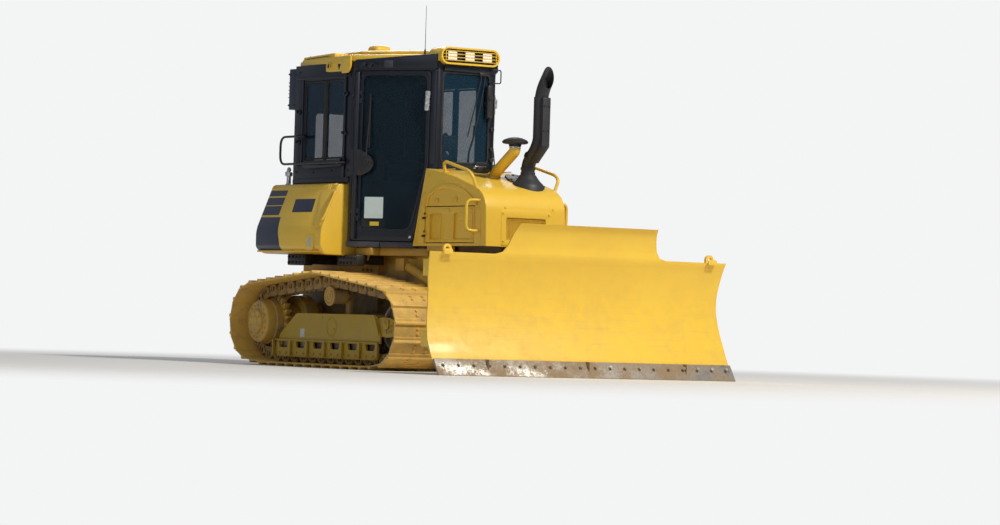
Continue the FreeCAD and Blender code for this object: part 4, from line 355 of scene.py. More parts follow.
shoe_half, link_offset, link_half, pin_depth = 0.30, 0.062, 0.017, 0.062
grouser = pitch * 0.7
shoe_profile = [(-0.001, 0.0), (pitch - 0.002, 0.0), (pitch + 0.010, 0.004), (pitch + 0.011, 0.010),
                (pitch - 0.002, 0.016), (grouser + 0.032, 0.014), (grouser + 0.018, 0.034),
                (grouser + 0.002, 0.034), (grouser - 0.010, 0.014), (0.012, 0.012), (0.002, 0.006)]
link_profile = [
    (-0.026, -0.046), (-0.028, -0.076), (-0.012, -0.100), (0.014, -0.112), (pitch - 0.036, -0.112),
    (pitch - 0.034, -0.022), (pitch - 0.060, -0.001), (0.030, -0.001), (0.010, -0.018),
]
link_window = [(pitch * 0.24, -0.026, 0.008), (pitch * 0.62, -0.026, 0.008), (pitch * 0.60, -0.066, 0.008),
               (pitch * 0.26, -0.066, 0.008)]
for side, way in (("right", -1), ("left", 1)):
    shoes, chain = bmesh.new(), bmesh.new()
    for index, joint in enumerate(joints):
        ahead = joints[(index + 1) % shoe_count] - joint
        ahead.normalize()
        outward = Vector((ahead.z, 0, -ahead.x))
        spot = Matrix.Translation(joint + Vector((0, way * chain_y, 0))) @ axes(ahead, outward, LEFT)
        put(shoes, plate(shoe_profile, -shoe_half, shoe_half, "z", rounding=0.0025), spot)
        for link_y in (-link_offset, link_offset):
            for share in (0.22, 0.50):
                put(shoes, hexagon_bolt(0.014, 0.011), spot @ facing((pitch * share, 0.012, link_y), LEFT))
            put(chain, plate(link_profile, link_y - link_half, link_y + link_half, "z", holes=[link_window],
                             rounding=0.003, steps=2), spot)
            put(chain, bar((pitch * 0.43, -0.024, link_y - 0.012), (pitch * 0.43, -0.068, link_y - 0.012),
                           0.008, sides=8, rounding=0), spot)
        for half_length, radius in ((0.088, 0.021), (0.048, 0.032)):
            put(chain, bar((0, -pin_depth, -half_length), (0, -pin_depth, half_length), radius,
                           sides=12, rounding=0), spot)
    fit("track_shoes_" + side, shoes, shoe_paint, stands_for=["track_" + side])
    fit("track_chain_" + side, chain, chain_steel)


# Final drives. Each sprocket is a hardened toothed rim bolted to a planetary gear case, whose
# outer end is a cast cover with a ring of bolts and an oil plug. The case is painted and dull.


def lathe(profile, place, direction, sides=48):
    """A turned piece: (distance along its axis, radius) from end to end, spun round."""
    part = bmesh.new()
    line = [part.verts.new((radius, 0, along)) for along, radius in profile]
    edges = [part.edges.new(pair) for pair in zip(line, line[1:])]
    bmesh.ops.spin(part, geom=line + edges, cent=(0, 0, 0), axis=UP, dvec=(0, 0, 0),
                   angle=math.tau, steps=sides, use_merge=True)
    bmesh.ops.remove_doubles(part, verts=part.verts, dist=1e-5)
    bmesh.ops.recalc_face_normals(part, faces=part.faces)
    bmesh.ops.transform(part, matrix=facing(place, direction), verts=part.verts)
    return part


def round_sprocket(radius, angle, y):
    """A place round the sprockets' axis."""
    return sprocket_x + radius * math.cos(angle), y, sprocket_z + radius * math.sin(angle)


case_paint = enamel("case_paint", (0.60, 0.37, 0.055), dust=1.0, rough=0.5, gloss=0.05, chips=0.5, low=2.6)
teeth = 23
tooth = [(0.0, 0.206), (0.28, 0.206), (0.52, 0.262), (0.76, 0.262)]
rim = [round_sprocket(radius, math.tau * (n + share) / teeth, 0)[::2] for n in range(teeth)
       for share, radius in tooth]
drive = plate(rim, -0.853, -0.797, "y", rounding=0.004)
put(drive, lathe([(0, 0), (0, 0.198), (0.020, 0.198), (0.024, 0.205), (0.075, 0.205), (0.082, 0.198),
                  (0.155, 0.196), (0.168, 0.190), (0.176, 0.176), (0.176, 0.118), (0.184, 0.112),
                  (0.198, 0.110), (0.206, 0.100), (0.208, 0.052), (0.214, 0.048), (0.216, 0)],
                 (sprocket_x, -0.85, sprocket_z), RIGHT, 72))
for count, ring_radius, face_y, turn, size in ((24, 0.186, -0.933, 0.0, (0.012, 0.012)),
                                               (16, 0.150, -1.026, 0.0, (0.010, 0.009)),
                                               (6, 0.080, -1.057, 0.5, (0.008, 0.007)),
                                               (2, 0.128, -1.026, 0.15, (0.014, 0.012))):
    bolts(drive, [round_sprocket(ring_radius, math.tau * (n + turn) / count, face_y) for n in range(count)],
          RIGHT, *size)
put(drive, lathe([(0, 0.190), (0.06, 0.190), (0.10, 0.175), (0.24, 0.170), (0.26, 0.196), (0.389, 0.196),
                  (0.389, 0)], (sprocket_x, -0.797, sprocket_z), LEFT, 48))
put(drive, lathe([(0, 0), (0, 0.225), (0.012, 0.250), (0.130, 0.256), (0.145, 0.235), (0.145, 0)],
                 (sprocket_x, -0.640, sprocket_z), LEFT))
fit("final_drive_sets", drive, case_paint, stands_for=["sprockets", "final_drives"],
    twin=True)

# Idlers, track rollers and carrier rollers. They are forged wheels on sealed shafts, worn
# bright where the links run and dark with oily dirt elsewhere.


def steel(name, colour, rough=0.45, dirt=0.4, dirt_colour=(0.09, 0.065, 0.04), scratches=0.0, metal=1.0):
    """Bare or lightly rusted steel with dirt in patches."""
    made, shader, mix, place = new_finish(name)
    cloud = mix.speckle(place, 4.0, 6.0, 0.65)
    grain = mix.speckle(place, 60.0, 4.0)
    dirty = (cloud * 0.7 + grain * 0.3).ramp(0.52 - 0.25 * dirt, 0.62)
    marks = mix.node("Mapping", None, {0: place, "Scale": (3.0, 60.0, 60.0)})
    fine = mix.speckle(marks, 5.0, 3.0).ramp(0.45, 0.6)
    tone = mix.blend(dirty, colour, dirt_colour)
    bump = mix.node("Bump", None, {"Height": cloud * 0.3 + grain * 0.3 + fine * scratches, "Strength": 0.15,
                                   "Distance": 0.003})
    plug(shader, {"Base Color": tone,
                  "Roughness": dirty * 0.35 + grain * 0.12 + fine * (0.1 * scratches) + rough,
                  "Metallic": (1 - dirty) * metal, "Normal": bump})
    return made


wheel_steel = steel("wheel_steel", (0.33, 0.27, 0.20), 0.4, 0.7)
idler = lathe([(-0.080, 0), (-0.080, 0.070), (-0.060, 0.082), (-0.050, 0.100), (-0.045, 0.175),
               (-0.080, 0.190), (-0.080, 0.210), (-0.042, 0.212), (-0.036, 0.233), (0.036, 0.233),
               (0.042, 0.212), (0.080, 0.210), (0.080, 0.190), (0.045, 0.175), (0.050, 0.100), (0.060, 0.082),
               (0.080, 0.070), (0.080, 0)], (idler_x, -chain_y, idler_z), LEFT, 64)
put(idler, bar((idler_x, -0.905, idler_z), (idler_x, -0.745, idler_z), 0.055))
fit("idler_wheels", idler, wheel_steel, stands_for=["idlers"], twin=True)

rollers = bmesh.new()
roller_profile = [(-0.105, 0), (-0.105, 0.030), (-0.095, 0.034), (-0.095, 0.082), (-0.083, 0.084),
                  (-0.080, 0.070), (-0.046, 0.069), (-0.043, 0.084), (-0.020, 0.084), (-0.016, 0.060),
                  (0.016, 0.060), (0.020, 0.084), (0.043, 0.084), (0.046, 0.069), (0.080, 0.070),
                  (0.083, 0.084), (0.095, 0.082), (0.095, 0.034), (0.105, 0.030), (0.105, 0)]
roller_places = [(n - 2.5) * roller_pitch for n in range(6)]
for x in roller_places:
    put(rollers, lathe(roller_profile, (x, -chain_y, roller_z), LEFT, 32))
fit("track_roller_sets", rollers, wheel_steel, stands_for=["track_rollers"], twin=True)

carrier = lathe([(-0.108, 0), (-0.108, 0.016), (-0.100, 0.020), (-0.098, 0.034), (-0.106, 0.039),
                 (-0.106, 0.053), (-0.098, 0.058), (-0.098, 0.067), (-0.108, 0.072), (-0.109, 0.083),
                 (-0.103, 0.089), (-0.088, 0.089), (-0.084, 0.070), (0.060, 0.068), (0.070, 0.050),
                 (0.104, 0.048), (0.104, 0)], (carrier_x, -chain_y, carrier_z), LEFT, 40)
put(carrier, block((-0.055, -0.735, 0.43), (0.015, -0.690, 0.690), 0.008))
fit("carrier_rollers", carrier, case_paint, twin=True)

# Track frames. A welded box beam carries the rollers. A thick side plate with a slanting rear
# edge closes it, and below it runs a guard rail with a window at each roller.
# The idler's sliding yoke is bolted to its front end.
frame_paint = enamel("frame_paint", (0.46, 0.305, 0.015), dust=0.35, rough=0.46, gloss=0.1, chips=0.35,
                     low=2.4)
side_face, guard_face = -0.945, -0.962
side_frame = block((-0.60, -0.930, 0.30), (0.80, -0.72, 0.485), 0.012, 3)
put(side_frame, plate([(-0.575, 0.487, 0.03), (0.79, 0.490, 0.012), (0.835, 0.470, 0.01),
                       (0.905, 0.300, 0.02), (0.905, 0.232, 0.005), (-0.885, 0.232, 0.02),
                       (-0.865, 0.290, 0.03)], side_face, -0.928, "y", rounding=0.005))
put(side_frame, plate([(0.66, 0.487, 0.01), (0.80, 0.487, 0.01), (0.895, 0.300, 0.01), (0.80, 0.300, 0.01)],
                      -0.952, -0.944, "y"))
for inner, outer in ((guard_face, -0.940), (-0.720, -0.698)):
    windows = [[(x + dx, z, 0.012)
                for dx, z in ((-0.085, 0.225), (0.085, 0.225), (0.068, 0.168), (-0.068, 0.168))]
               for x in roller_places]
    put(side_frame, plate([(-0.885, 0.240, 0.01), (0.865, 0.240, 0.01), (0.895, 0.200, 0.01),
                           (0.850, 0.085, 0.02), (-0.880, 0.085, 0.02), (-0.905, 0.150, 0.01)], inner, outer,
                          "y", holes=windows, rounding=0.003))
for place in [(n - 3) * roller_pitch for n in range(7)]:
    put(side_frame, plate([(0, 0.236), (0.020, 0.226), (0.034, 0.100), (0, 0.088)], place - 0.009,
                          place + 0.009, "x", rounding=0.002), Matrix.Translation((0, -0.990, 0)))
    bolts(side_frame, [(place + 0.09, guard_face, 0.120), (place + 0.21, guard_face, 0.120)], RIGHT, 0.011,
          0.008)
put(side_frame, block((-0.90, -0.975, 0.232), (0.895, -0.925, 0.246), 0.004))
put(side_frame, lathe([(0, 0.078), (0.006, 0.082), (0.006, 0.087), (0, 0.091)], (0.058, side_face, 0.368),
                      RIGHT, 64))
bolts(side_frame, [(-0.012, side_face, 0.352), (0.105, side_face, 0.352), (-0.10, side_face, 0.455),
                   (0.058, side_face, 0.300)], RIGHT, 0.009, 0.006)
for outer, inner in ((-0.930, -0.900), (-0.750, -0.720)):
    put(side_frame, plate([(0.80, 0.300), (0.80, 0.455), (0.90, 0.470, 0.02), (1.04, 0.466, 0.05),
                           (1.19, 0.420, 0.06), (1.18, 0.330, 0.05), (1.02, 0.292, 0.02)], outer, inner, "y",
                          rounding=0.006))
put(side_frame, plate([(0.925, 0.445, 0.01), (1.03, 0.452, 0.01), (1.03, 0.375, 0.01), (0.975, 0.355, 0.01),
                       (0.925, 0.395, 0.01)], -0.946, -0.930, "y", rounding=0.004))
put(side_frame, plate([(0.955, 0.350, 0.012), (1.145, 0.365, 0.012), (1.135, 0.300, 0.012),
                       (0.975, 0.288, 0.012)], -0.944, -0.930, "y", rounding=0.004))
bolts(side_frame, [(1.005, -0.946, 0.335), (1.045, -0.946, 0.340), (1.085, -0.946, 0.343),
                   (1.060, -0.932, 0.395), (1.095, -0.932, 0.410), (1.110, -0.932, 0.380),
                   (0.985, -0.948, 0.425)], RIGHT, 0.010, 0.007)
put(side_frame, plate([(0.795, 0.462), (0.835, 0.462), (0.895, 0.330), (0.855, 0.330)], -0.965, -0.940, "y",
                      rounding=0.006))
for x in (-0.75, -0.15):
    put(side_frame, bar((x, -0.72, 0.395), (x, -0.40, 0.395), 0.075))
put(side_frame, bar((0.78, -0.825, 0.39), (1.09, -0.825, 0.39), 0.045))
fit("track_frame_beams", side_frame, frame_paint, stands_for=["track_frames"], twin=True)

# The hull, the engine in its bay, the deck that the cab stands on and the drawbar. They are
# welded from thick plate, and their edges are ground round.


def recast(node):
    """The worked-out solid of a hidden piece, with its facets joined."""
    part = bmesh.new()
    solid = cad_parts[node]
    part.from_mesh(solid.data)
    bmesh.ops.transform(part, matrix=Matrix.Translation((-mid, 0, 0)) @ solid.matrix_world, verts=part.verts)
    bmesh.ops.remove_doubles(part, verts=part.verts, dist=2e-5)
    bmesh.ops.dissolve_limit(part, angle_limit=math.radians(0.4), verts=part.verts, edges=part.edges,
                             use_dissolve_boundaries=False)
    return part


def ground_edges(part, amount=0.004, steps=2, least=0.6):
    part.normal_update()
    ease(part, [e for e in part.edges if len(e.link_faces) == 2 and e.calc_face_angle(0) > least], amount,
         steps)
    return part


def painted_low_shade(x, y, z):
    """Painted shade: a dark brown laid on the low plates between the tracks, where they lie in shadow."""
    return [((1 - z.ramp(0.80, 0.94)) * (1 - x.ramp(0.35, 0.6)) * 0.85, (0.055, 0.040, 0.020))]


# The hull's paint carries this painted shade, and so do the other pieces in that paint where they sit as low.
hull_paint = enamel("hull_paint", (0.63, 0.385, 0.05), dust=0.6, rough=0.45, gloss=0.1, chips=0.2, low=2.2,
                    marks=painted_low_shade)
hull = ground_edges(recast("main_frame"))
hull_side = -0.4135
bolts(hull, [(-0.98 + 0.072 * n, hull_side, z) for n in range(5) for z in (0.955, 0.885)], RIGHT, 0.014,
      0.012)
bolts(hull, [(-0.30 + 0.07 * n, hull_side, z) for n in range(3) for z in (0.965, 0.90)], RIGHT, 0.014, 0.012)
trunnion_x, trunnion_z, trunnion_radius, trunnion_play = 0.10, 0.42, 0.0405, 0.98
for corner in hull.verts:
    off = Vector((corner.co.x - trunnion_x, corner.co.z - trunnion_z))
    if abs(corner.co.y) > 0.405 and off.length < trunnion_radius:
        corner.co.x = trunnion_x + off.x * trunnion_play
        corner.co.z = trunnion_z + off.y * trunnion_play
fit("hull", hull, hull_paint, stands_for=["main_frame"])

engine_grey = enamel("engine_grey", (0.12, 0.12, 0.115), dust=0.6, rough=0.5, gloss=0.0, chips=0.4, low=2.4)
engine = ground_edges(recast("engine_block"), 0.012, 3)
put(engine, block((0.80, -0.17, 1.43), (1.42, 0.10, 1.49), 0.02, 4))
filler_cap = [(0, 0), (0, 0.030), (0.018, 0.030), (0.024, 0.022), (0.024, 0)]
for n in range(6):
    put(engine, lathe(filler_cap, (0.85 + n * 0.10, -0.04, 1.485), UP, 16))
put(engine, lathe([(0, 0), (0, 0.12), (0.04, 0.12), (0.05, 0.10), (0.09, 0.05), (0.09, 0)], (1.48, 0.0, 1.28),
                  AHEAD, 40))
for y in (-0.26, 0.26):
    put(engine, bar((0.50, y, 0.95), (0.74, y, 0.95), 0.045))
fit("engine", engine, engine_grey, stands_for=["engine_block"])

deck = ground_edges(recast("floor_frame"))
put(deck, block((-0.06, -0.64, 1.030), (0.20, -0.52, 1.098), 0.006))
put(deck, plate([(0.0, 1.03), (0.10, 1.03), (0.06, 0.93, 0.02), (0.02, 0.93, 0.02)], -0.60, -0.588, "y"))
fit("deck", deck, hull_paint, stands_for=["floor_frame"])
towing = ground_edges(recast("drawbar"), 0.006)
bolts(towing, [(-1.43, y, z) for y in (-0.08, 0.08) for z in (0.36, 0.52)], BEHIND, 0.014, 0.011)
fit("towing_drawbar", towing, hull_paint, stands_for=["drawbar"])

# Rear side tanks for fuel and hydraulic oil. Folded and welded plate leans inwards above a
# crease; the front end is a bolted pressing with a grab handle. Dark blue stripes and a
# larger blue field are painted on the rear of each side, and every sign is blank.
yellow = (0.93, 0.60, 0.055)
navy = (0.014, 0.025, 0.062)


def tank_stripes(x, y, z):
    side = 1 - (y * y).between(-1.0, 0.66)
    rear = x.between(-1.272, -0.955)
    bands = z.between(1.568, 1.622) + z.between(1.482, 1.553) + z.between(1.388, 1.474)
    field = z.between(1.062, 1.369) * x.between(-1.272, (1.369 - z) * 0.27 - 0.905)
    name_plate = z.between(1.412, 1.536) * x.between((z - 1.412) * -0.15 - 0.735, (z - 1.412) * -0.15 - 0.372)
    return [((bands * rear + field + name_plate) * side, navy)]


tank_paint = enamel("tank_paint", yellow, dust=0.3, marks=tank_stripes)
tank_outline = [(-0.50, 1.032), (-0.930, 1.032, 0.05), (-0.998, 1.085, 0.03), (-1.0, 1.25, 0.05),
                (-0.826, 1.679, 0.03), (-0.50, 1.679)]
tanks = plate(tank_outline, -1.28, -0.20, "x", rounding=0.010)
front_outline = [(y + (0.006 if y < -0.6 else 0), z) for y, z, *_ in tank_outline]
put(tanks, plate(front_outline, -0.21, -0.155, "x", corner=0.02, rounding=0.006))
put(tanks, plate([(-0.56, 1.02, 0.01), (-0.955, 1.025, 0.03), (-0.9995, 1.10, 0.02), (-0.9995, 1.25, 0.05),
                  (-0.829, 1.672, 0.03), (-0.56, 1.672)], -0.165, -0.092, "x", rounding=0.012))
crease_y, crease_z = -1.0, 1.25
up_the_side, off_the_side = (0, 0.377, 0.926), (0, -0.926, 0.377)
leaning = Matrix.Translation((0, crease_y, crease_z)) @ axes(AHEAD, up_the_side, off_the_side)


def on_tank(x, z, out=0.0):
    """A place on the leaning upper side of the right tank."""
    return Vector((x, crease_y + 0.175 * (z - crease_z) / 0.43, z)) + Vector(off_the_side) * out


def lean_on_tank(part):
    """Sets down a plate drawn as (x, distance up the leaning side from the crease)."""
    put(tanks, part, leaning)


lean_on_tank(plate([(-0.345, 0.385, 0.02), (-0.125, 0.405, 0.02), (-0.125, 0.03, 0.02), (-0.205, 0.01, 0.02),
                    (-0.30, 0.20, 0.05)], 0.0, 0.007, "z", rounding=0.005))
lean_on_tank(plate(oblong(-1.262, 0.415, -0.24, 0.425), 0.0, 0.004, "z", rounding=0.0015))
for x in (-1.24, -0.70, -0.24):
    bolts(tanks, [on_tank(x, 1.655, 0.003)], off_the_side, 0.009, 0.006)
put(tanks, block((-1.27, -0.985, 1.046), (-0.16, -0.60, 1.060), 0.004))
tank_door = oblong(-0.345, 1.06, -0.215, 1.205, 0.02)
put(tanks, plate(tank_door, -1.0045, -0.998, "y", rounding=0.003))
fit("side_tanks", tanks, tank_paint, stands_for=["rear_tanks"], twin=True, crease=28)

black_tube = enamel("black_tube", (0.018, 0.019, 0.022), dust=0.1, rough=0.38, gloss=0.2)
bright = steel("bright", (0.72, 0.73, 0.75), 0.16, 0.05, (0.35, 0.33, 0.30))


def pipe(points, radius, bend=0.05, sides=14, steps=5):
    """A round tube along straight runs, bent smoothly at each corner between them."""
    points = [Vector(point) for point in points]
    line = [points[0]]
    for before, corner, after in zip(points, points[1:], points[2:]):
        back, ahead = before - corner, after - corner
        reach = min(bend, back.length * 0.49, ahead.length * 0.49)
        start, end = corner + back.normalized() * reach, corner + ahead.normalized() * reach
        shares = [step / steps for step in range(steps + 1)]
        line += [start.lerp(corner, share).lerp(corner.lerp(end, share), share) for share in shares]
    line.append(points[-1])
    part = bmesh.new()
    course = (line[1] - line[0]).normalized()
    bmesh.ops.create_circle(part, cap_ends=False, segments=sides, radius=radius)
    bmesh.ops.transform(part, matrix=facing(line[0], course), verts=part.verts)
    ring = part.edges[:]
    for index in range(1, len(line)):
        onward = (line[min(index + 1, len(line) - 1)] - line[index - 1]).normalized()
        grown = bmesh.ops.extrude_edge_only(part, edges=ring)["geom"]
        verts = [g for g in grown if isinstance(g, bmesh.types.BMVert)]
        turn = course.rotation_difference(onward).to_matrix().to_4x4()
        move = Matrix.Translation(line[index]) @ turn @ Matrix.Translation(-line[index - 1])
        bmesh.ops.transform(part, matrix=move, verts=verts)
        chosen = set(verts)
        ring = [e for e in part.edges if e.verts[0] in chosen and e.verts[1] in chosen]
        course = onward
    bmesh.ops.holes_fill(part, edges=[e for e in part.edges if len(e.link_faces) == 1], sides=0)
    bmesh.ops.recalc_face_normals(part, faces=part.faces)
    return part


handles = pipe([(-0.112, -0.86, 1.60), (-0.062, -0.875, 1.60), (-0.062, -0.985, 1.36), (-0.070, -1.01, 1.33),
                (-0.112, -0.99, 1.33)], 0.011, 0.03)
fit("tank_grab_handles", handles, enamel("handle_paint", yellow, dust=0.2, rough=0.34),
    twin=True)
vents = lathe([(0, 0), (0, 0.032), (0.012, 0.034), (0.020, 0.022), (0.085, 0.020), (0.092, 0.034),
               (0.125, 0.036), (0.135, 0.022), (0.160, 0.018), (0.172, 0.012), (0.174, 0)],
              (-1.22, -0.695, 1.675), UP, 24)
fit("tank_breathers", vents, bright, twin=True)

# Tank mounts: dark steel feet between the tanks and the hull, each with two rows of bolts on
# its outer face and two ribs that reach in to the hull's side.
mounts = block((-1.02, -0.80, 0.930), (-0.70, -0.71, 1.034), 0.010)
put(mounts, block((-0.20, -0.74, 0.930), (0.12, -0.65, 1.030), 0.010))
for start, y in ((-0.98, -0.72), (-0.80, -0.72), (-0.16, -0.66), (0.03, -0.66)):
    put(mounts, block((start, y, 0.945), (start + 0.05, -0.42, 1.028), 0.006))
for start, end, y in ((-1.02, -0.70, -0.80), (-0.20, 0.12, -0.74)):
    for z in (0.955, 1.008):
        bolts(mounts, [(start + (end - start) * (n + 0.5) / 5, y, z) for n in range(5)], RIGHT, 0.012, 0.009)
fit("tank_mounts", mounts, black_tube, twin=True)

# Cooling housing behind the cab, with the radiator core, its fan and the hinged rear grille.
# The housing is folded plate; the core is aluminium fins on brazed tubes.
housing = ground_edges(recast("cooling_housing"), 0.005)
bolts(housing, [(-1.502, y, z) for y in (-0.548, 0.548) for z in (1.16, 1.38, 1.60)], BEHIND, 0.009, 0.007)
fit("cooling_cover", housing, enamel("housing_paint", yellow, dust=0.4), stands_for=["cooling_housing"])

core_metal = steel("core_metal", (0.18, 0.18, 0.18), 0.4, 0.5, (0.05, 0.045, 0.04), metal=0.7)
core = block((-1.268, -0.532, 1.128), (-1.182, 0.532, 1.652), 0.004)
for n in range(41):
    put(core, block((-1.270, -0.515 + n * 0.0255, 1.135), (-1.266, -0.509 + n * 0.0255, 1.645), 0))
for z in (1.128, 1.630):
    put(core, block((-1.272, -0.534, z), (-1.181, 0.534, z + 0.024), 0.006))
fit("radiator_core", core, core_metal, stands_for=["radiator"])

moulded = enamel("moulded", (0.020, 0.020, 0.023), dust=0.15, rough=0.5, gloss=0.0, low=2.5)
fan_place = (-1.330, 0, 1.39)
wheel = lathe([(-0.028, 0), (-0.028, 0.040), (-0.022, 0.058), (0.022, 0.060), (0.028, 0.052), (0.028, 0.020),
               (0.060, 0.018), (0.060, 0)], fan_place, AHEAD, 32)
for n in range(7):
    vane = block((-0.004, -0.0475, 0.04), (0.004, 0.0475, 0.230), 0.003)
    tall = [e for e in vane.edges if abs((e.verts[0].co - e.verts[1].co).z) > 0.1]
    bmesh.ops.subdivide_edges(vane, edges=tall, cuts=6)
    for vert in vane.verts:
        turn = math.radians(38 - 60 * (vert.co.z - 0.04))
        vert.co = Matrix.Rotation(turn, 3, "Z") @ (vert.co + Vector((0.10 * vert.co.y ** 2 / 0.05, 0, 0)))
    put(wheel, vane, Matrix.Translation(fan_place) @ Matrix.Rotation(math.tau * n / 7, 4, "X"))
fit("cooling_fan", wheel, moulded, body="fan_wheel", stands_for=["fan"])

grille = ground_edges(recast("rear_grille"), 0.005)
for n in range(7):
    z = n * 0.062
    put(grille, plate([(-1.492, 1.192 + z), (-1.468, 1.214 + z), (-1.472, 1.218 + z), (-1.496, 1.196 + z)],
                      -0.452, 0.452, "y", rounding=0.001))
put(grille, lathe([(0, 0), (0, 0.020), (0.014, 0.018), (0.014, 0)], (-1.500, -0.49, 1.39), BEHIND, 20))
fit("rear_grille_door", grille, enamel("grille_paint", (0.030, 0.032, 0.036), dust=0.5, rough=0.45, low=2.4),
    body="grille_door", stands_for=["rear_grille"])

# Cab shell. Rolled posts and pressed panels, welded, sprayed dark blue-black. It is six-sided
# in plan: a rear part over the tanks and a front part that narrows to the windscreen and
# reaches down between the hull and the hood.


def wall(start, end):
    """Stands a plate drawn as (along, up) against a cab side between two corners in plan."""
    along = Vector((end[0] - start[0], end[1] - start[1], 0)).normalized()
    up = Vector(UP)
    return Matrix.Translation((*start, 0)) @ axes(along, up, along.cross(up))


rear_corner, wide_corner, front_corner = (-1.14, -0.70), (-0.04, -0.74), (0.72, -0.30)
side, doorway = wall(rear_corner, wide_corner), wall(wide_corner, front_corner)
screen, back = wall(front_corner, (0.72, 0.30)), wall((-1.14, 0.70), rear_corner)
sill_z, belt_z, roof_z = 1.10, 1.682, 2.79
cab_paint = enamel("cab_paint", (0.0055, 0.0095, 0.020), dust=0.03, rough=0.34, gloss=0.12, chips=0.0,
                   low=1.5)
shell = bmesh.new()
put(shell, plate(oblong(0, belt_z, 1.1007, roof_z), -0.040, 0, "z",
                 holes=[oblong(0.20, 1.905, 0.951, 2.64, 0.03)], rounding=0.004), side)
put(shell, plate([(0, sill_z), (0.70, sill_z, 0.02), (0.8782, 1.76, 0.02), (0.8782, roof_z), (0, roof_z)],
                 -0.040, 0, "z", holes=[[(0.019, 1.154, 0.02), (0.666, 1.154, 0.03), (0.806, 1.80, 0.03),
                                         (0.806, 2.706, 0.03), (0.019, 2.706, 0.02)]], rounding=0.004),
    doorway)
put(shell, bar((-1.118, -0.678, 1.684), (-1.118, -0.678, 2.788), 0.023))
put(shell, bar((-0.05, -0.716, sill_z), (-0.05, -0.716, 2.788), 0.023))
put(shell, pipe([(0.56, -0.345, 1.12), (0.694, -0.279, 1.80), (0.694, -0.279, 2.788)], 0.024, 0.10))
put(shell, block((0.03, 2.655, 0), (1.07, 2.672, 0.010), 0.004), side)
put(shell, plate([(0.02, 1.69), (1.09, 1.69), (1.09, 1.74), (0.02, 1.735)], 0, 0.014, "z", corner=0.01,
                 rounding=0.005), side)
put(shell, plate([(0.16, 1.865), (1.02, 1.875), (0.98, 1.838), (0.30, 1.825)], 0, 0.035, "z", corner=0.008,
                 rounding=0.005), side)
put(shell, block((0.965, 1.70, 0), (0.998, 2.76, 0.014), 0.006), side)
put(shell, block((0.155, 1.88, 0), (0.178, 2.66, 0.010), 0.004), side)
knob = [(0, 0), (0, 0.024), (0.012, 0.024), (0.018, 0.016), (0.034, 0.015), (0.038, 0.010), (0.038, 0)]
for u, v in ((0.10, 2.36), (0.10, 2.08), (1.0, 2.50), (0.99, 2.14), (0.97, 1.90)):
    put(shell, lathe(knob, (u, v, 0.002), UP, 18), side)
    put(shell, block((u - 0.040, v - 0.014, 0.004), (u + 0.040, v + 0.014, 0.016), 0.005), side)
for u, v in ((0.06, 1.80), (0.40, 1.79), (0.75, 1.80), (1.05, 1.80), (0.08, 2.73), (1.03, 2.72)):
    bolts(shell, [side @ Vector((u, v, 0))], (-0.036, -1, 0), 0.008, 0.005)
put(shell, block((0.03, 2.712, 0), (0.85, 2.786, 0.012), 0.005), doorway)
put(shell, block((0.815, 1.86, 0), (0.868, 2.70, 0.010), 0.006), doorway)
put(shell, block((-1.10, -0.66, belt_z), (-0.05, 0.0, 1.722), 0.003))
put(shell, block((-0.09, -0.70, sill_z), (-0.05, 0.0, 1.70), 0.003))
put(shell, plate([(-0.09, -0.70), (-0.03, -0.70), (0.68, -0.285), (0.68, 0), (-0.09, 0)], sill_z, 1.14, "z"))
put(shell, plate([(-1.12, -0.68), (-0.04, -0.715), (0.69, -0.28), (0.69, 0), (-1.12, 0)], 2.76, 2.788, "z"))
both_sides(shell)
put(shell, plate(oblong(0, sill_z, 0.60, roof_z), -0.040, 0, "z",
                 holes=[oblong(0.045, 1.875, 0.555, 2.70, 0.04)], rounding=0.004), screen)
put(shell, plate(oblong(0, belt_z, 1.40, roof_z), -0.040, 0, "z",
                 holes=[oblong(0.21, 1.86, 1.19, 2.38, 0.05)], rounding=0.004), back)
put(shell, block((0.05, 2.705, 0), (0.55, 2.75, 0.02), 0.006), screen)
fit("cab_shell", shell, cab_paint, stands_for=["cab_frame"])

# Door sill and header. The sill is two grey pressed treads with a studded grip at the front;
# the header is a dark cover under the roof edge with the wiper drive and a blank plate on it.
sill_grey = enamel("sill_grey", (0.050, 0.056, 0.075), dust=0.3, rough=0.45, gloss=0.0, chips=0.2, low=1.4)
sill = bmesh.new()
put(sill, block((-0.01, 1.10, 0.0), (0.335, 1.152, 0.024), 0.007), doorway)
put(sill, block((0.340, 1.10, 0.0), (0.690, 1.152, 0.024), 0.007), doorway)
stud = [(0, 0), (0, 0.006), (0.004, 0.004), (0.004, 0)]
for along in range(9):
    for row in range(3):
        put(sill, lathe(stud, (0.525 + along * 0.018, 1.110 + row * 0.016, 0.023), UP, 8), doorway)
both_sides(sill)
fit("cab_sills", sill, sill_grey)
header = plate([(0.030, 2.722, 0.01), (0.872, 2.722, 0.01), (0.872, 2.856, 0.01), (0.030, 2.800, 0.02)], 0.0,
               0.030, "z", rounding=0.005)
put(header, block((0.075, 2.738, 0.026), (0.150, 2.782, 0.046), 0.008))
put(header, lathe([(0, 0), (0, 0.022), (0.016, 0.022), (0.022, 0.014), (0.022, 0)], (0.195, 2.758, 0.028), UP,
                  20))
put(header, pipe([(0.15, 2.765, 0.038), (0.21, 2.775, 0.042), (0.27, 2.745, 0.040), (0.30, 2.76, 0.030)],
                 0.006, 0.03, 8))
for along in (0.06, 0.45, 0.84):
    put(header, lathe([(0, 0), (0, 0.008), (0.005, 0.006), (0.005, 0)], (along, 2.738, 0.029), UP, 12))
header.transform(doorway)
both_sides(header)
fit("door_headers", header, cab_paint)
header_plate = plate(oblong(0.335, 2.730, 0.425, 2.795, 0.004), 0.029, 0.032, "z", rounding=0.001)
header_plate.transform(doorway)
both_sides(header_plate)
plate_grey = enamel("plate_grey", (0.045, 0.055, 0.075), dust=0.1, rough=0.4, gloss=0.0)
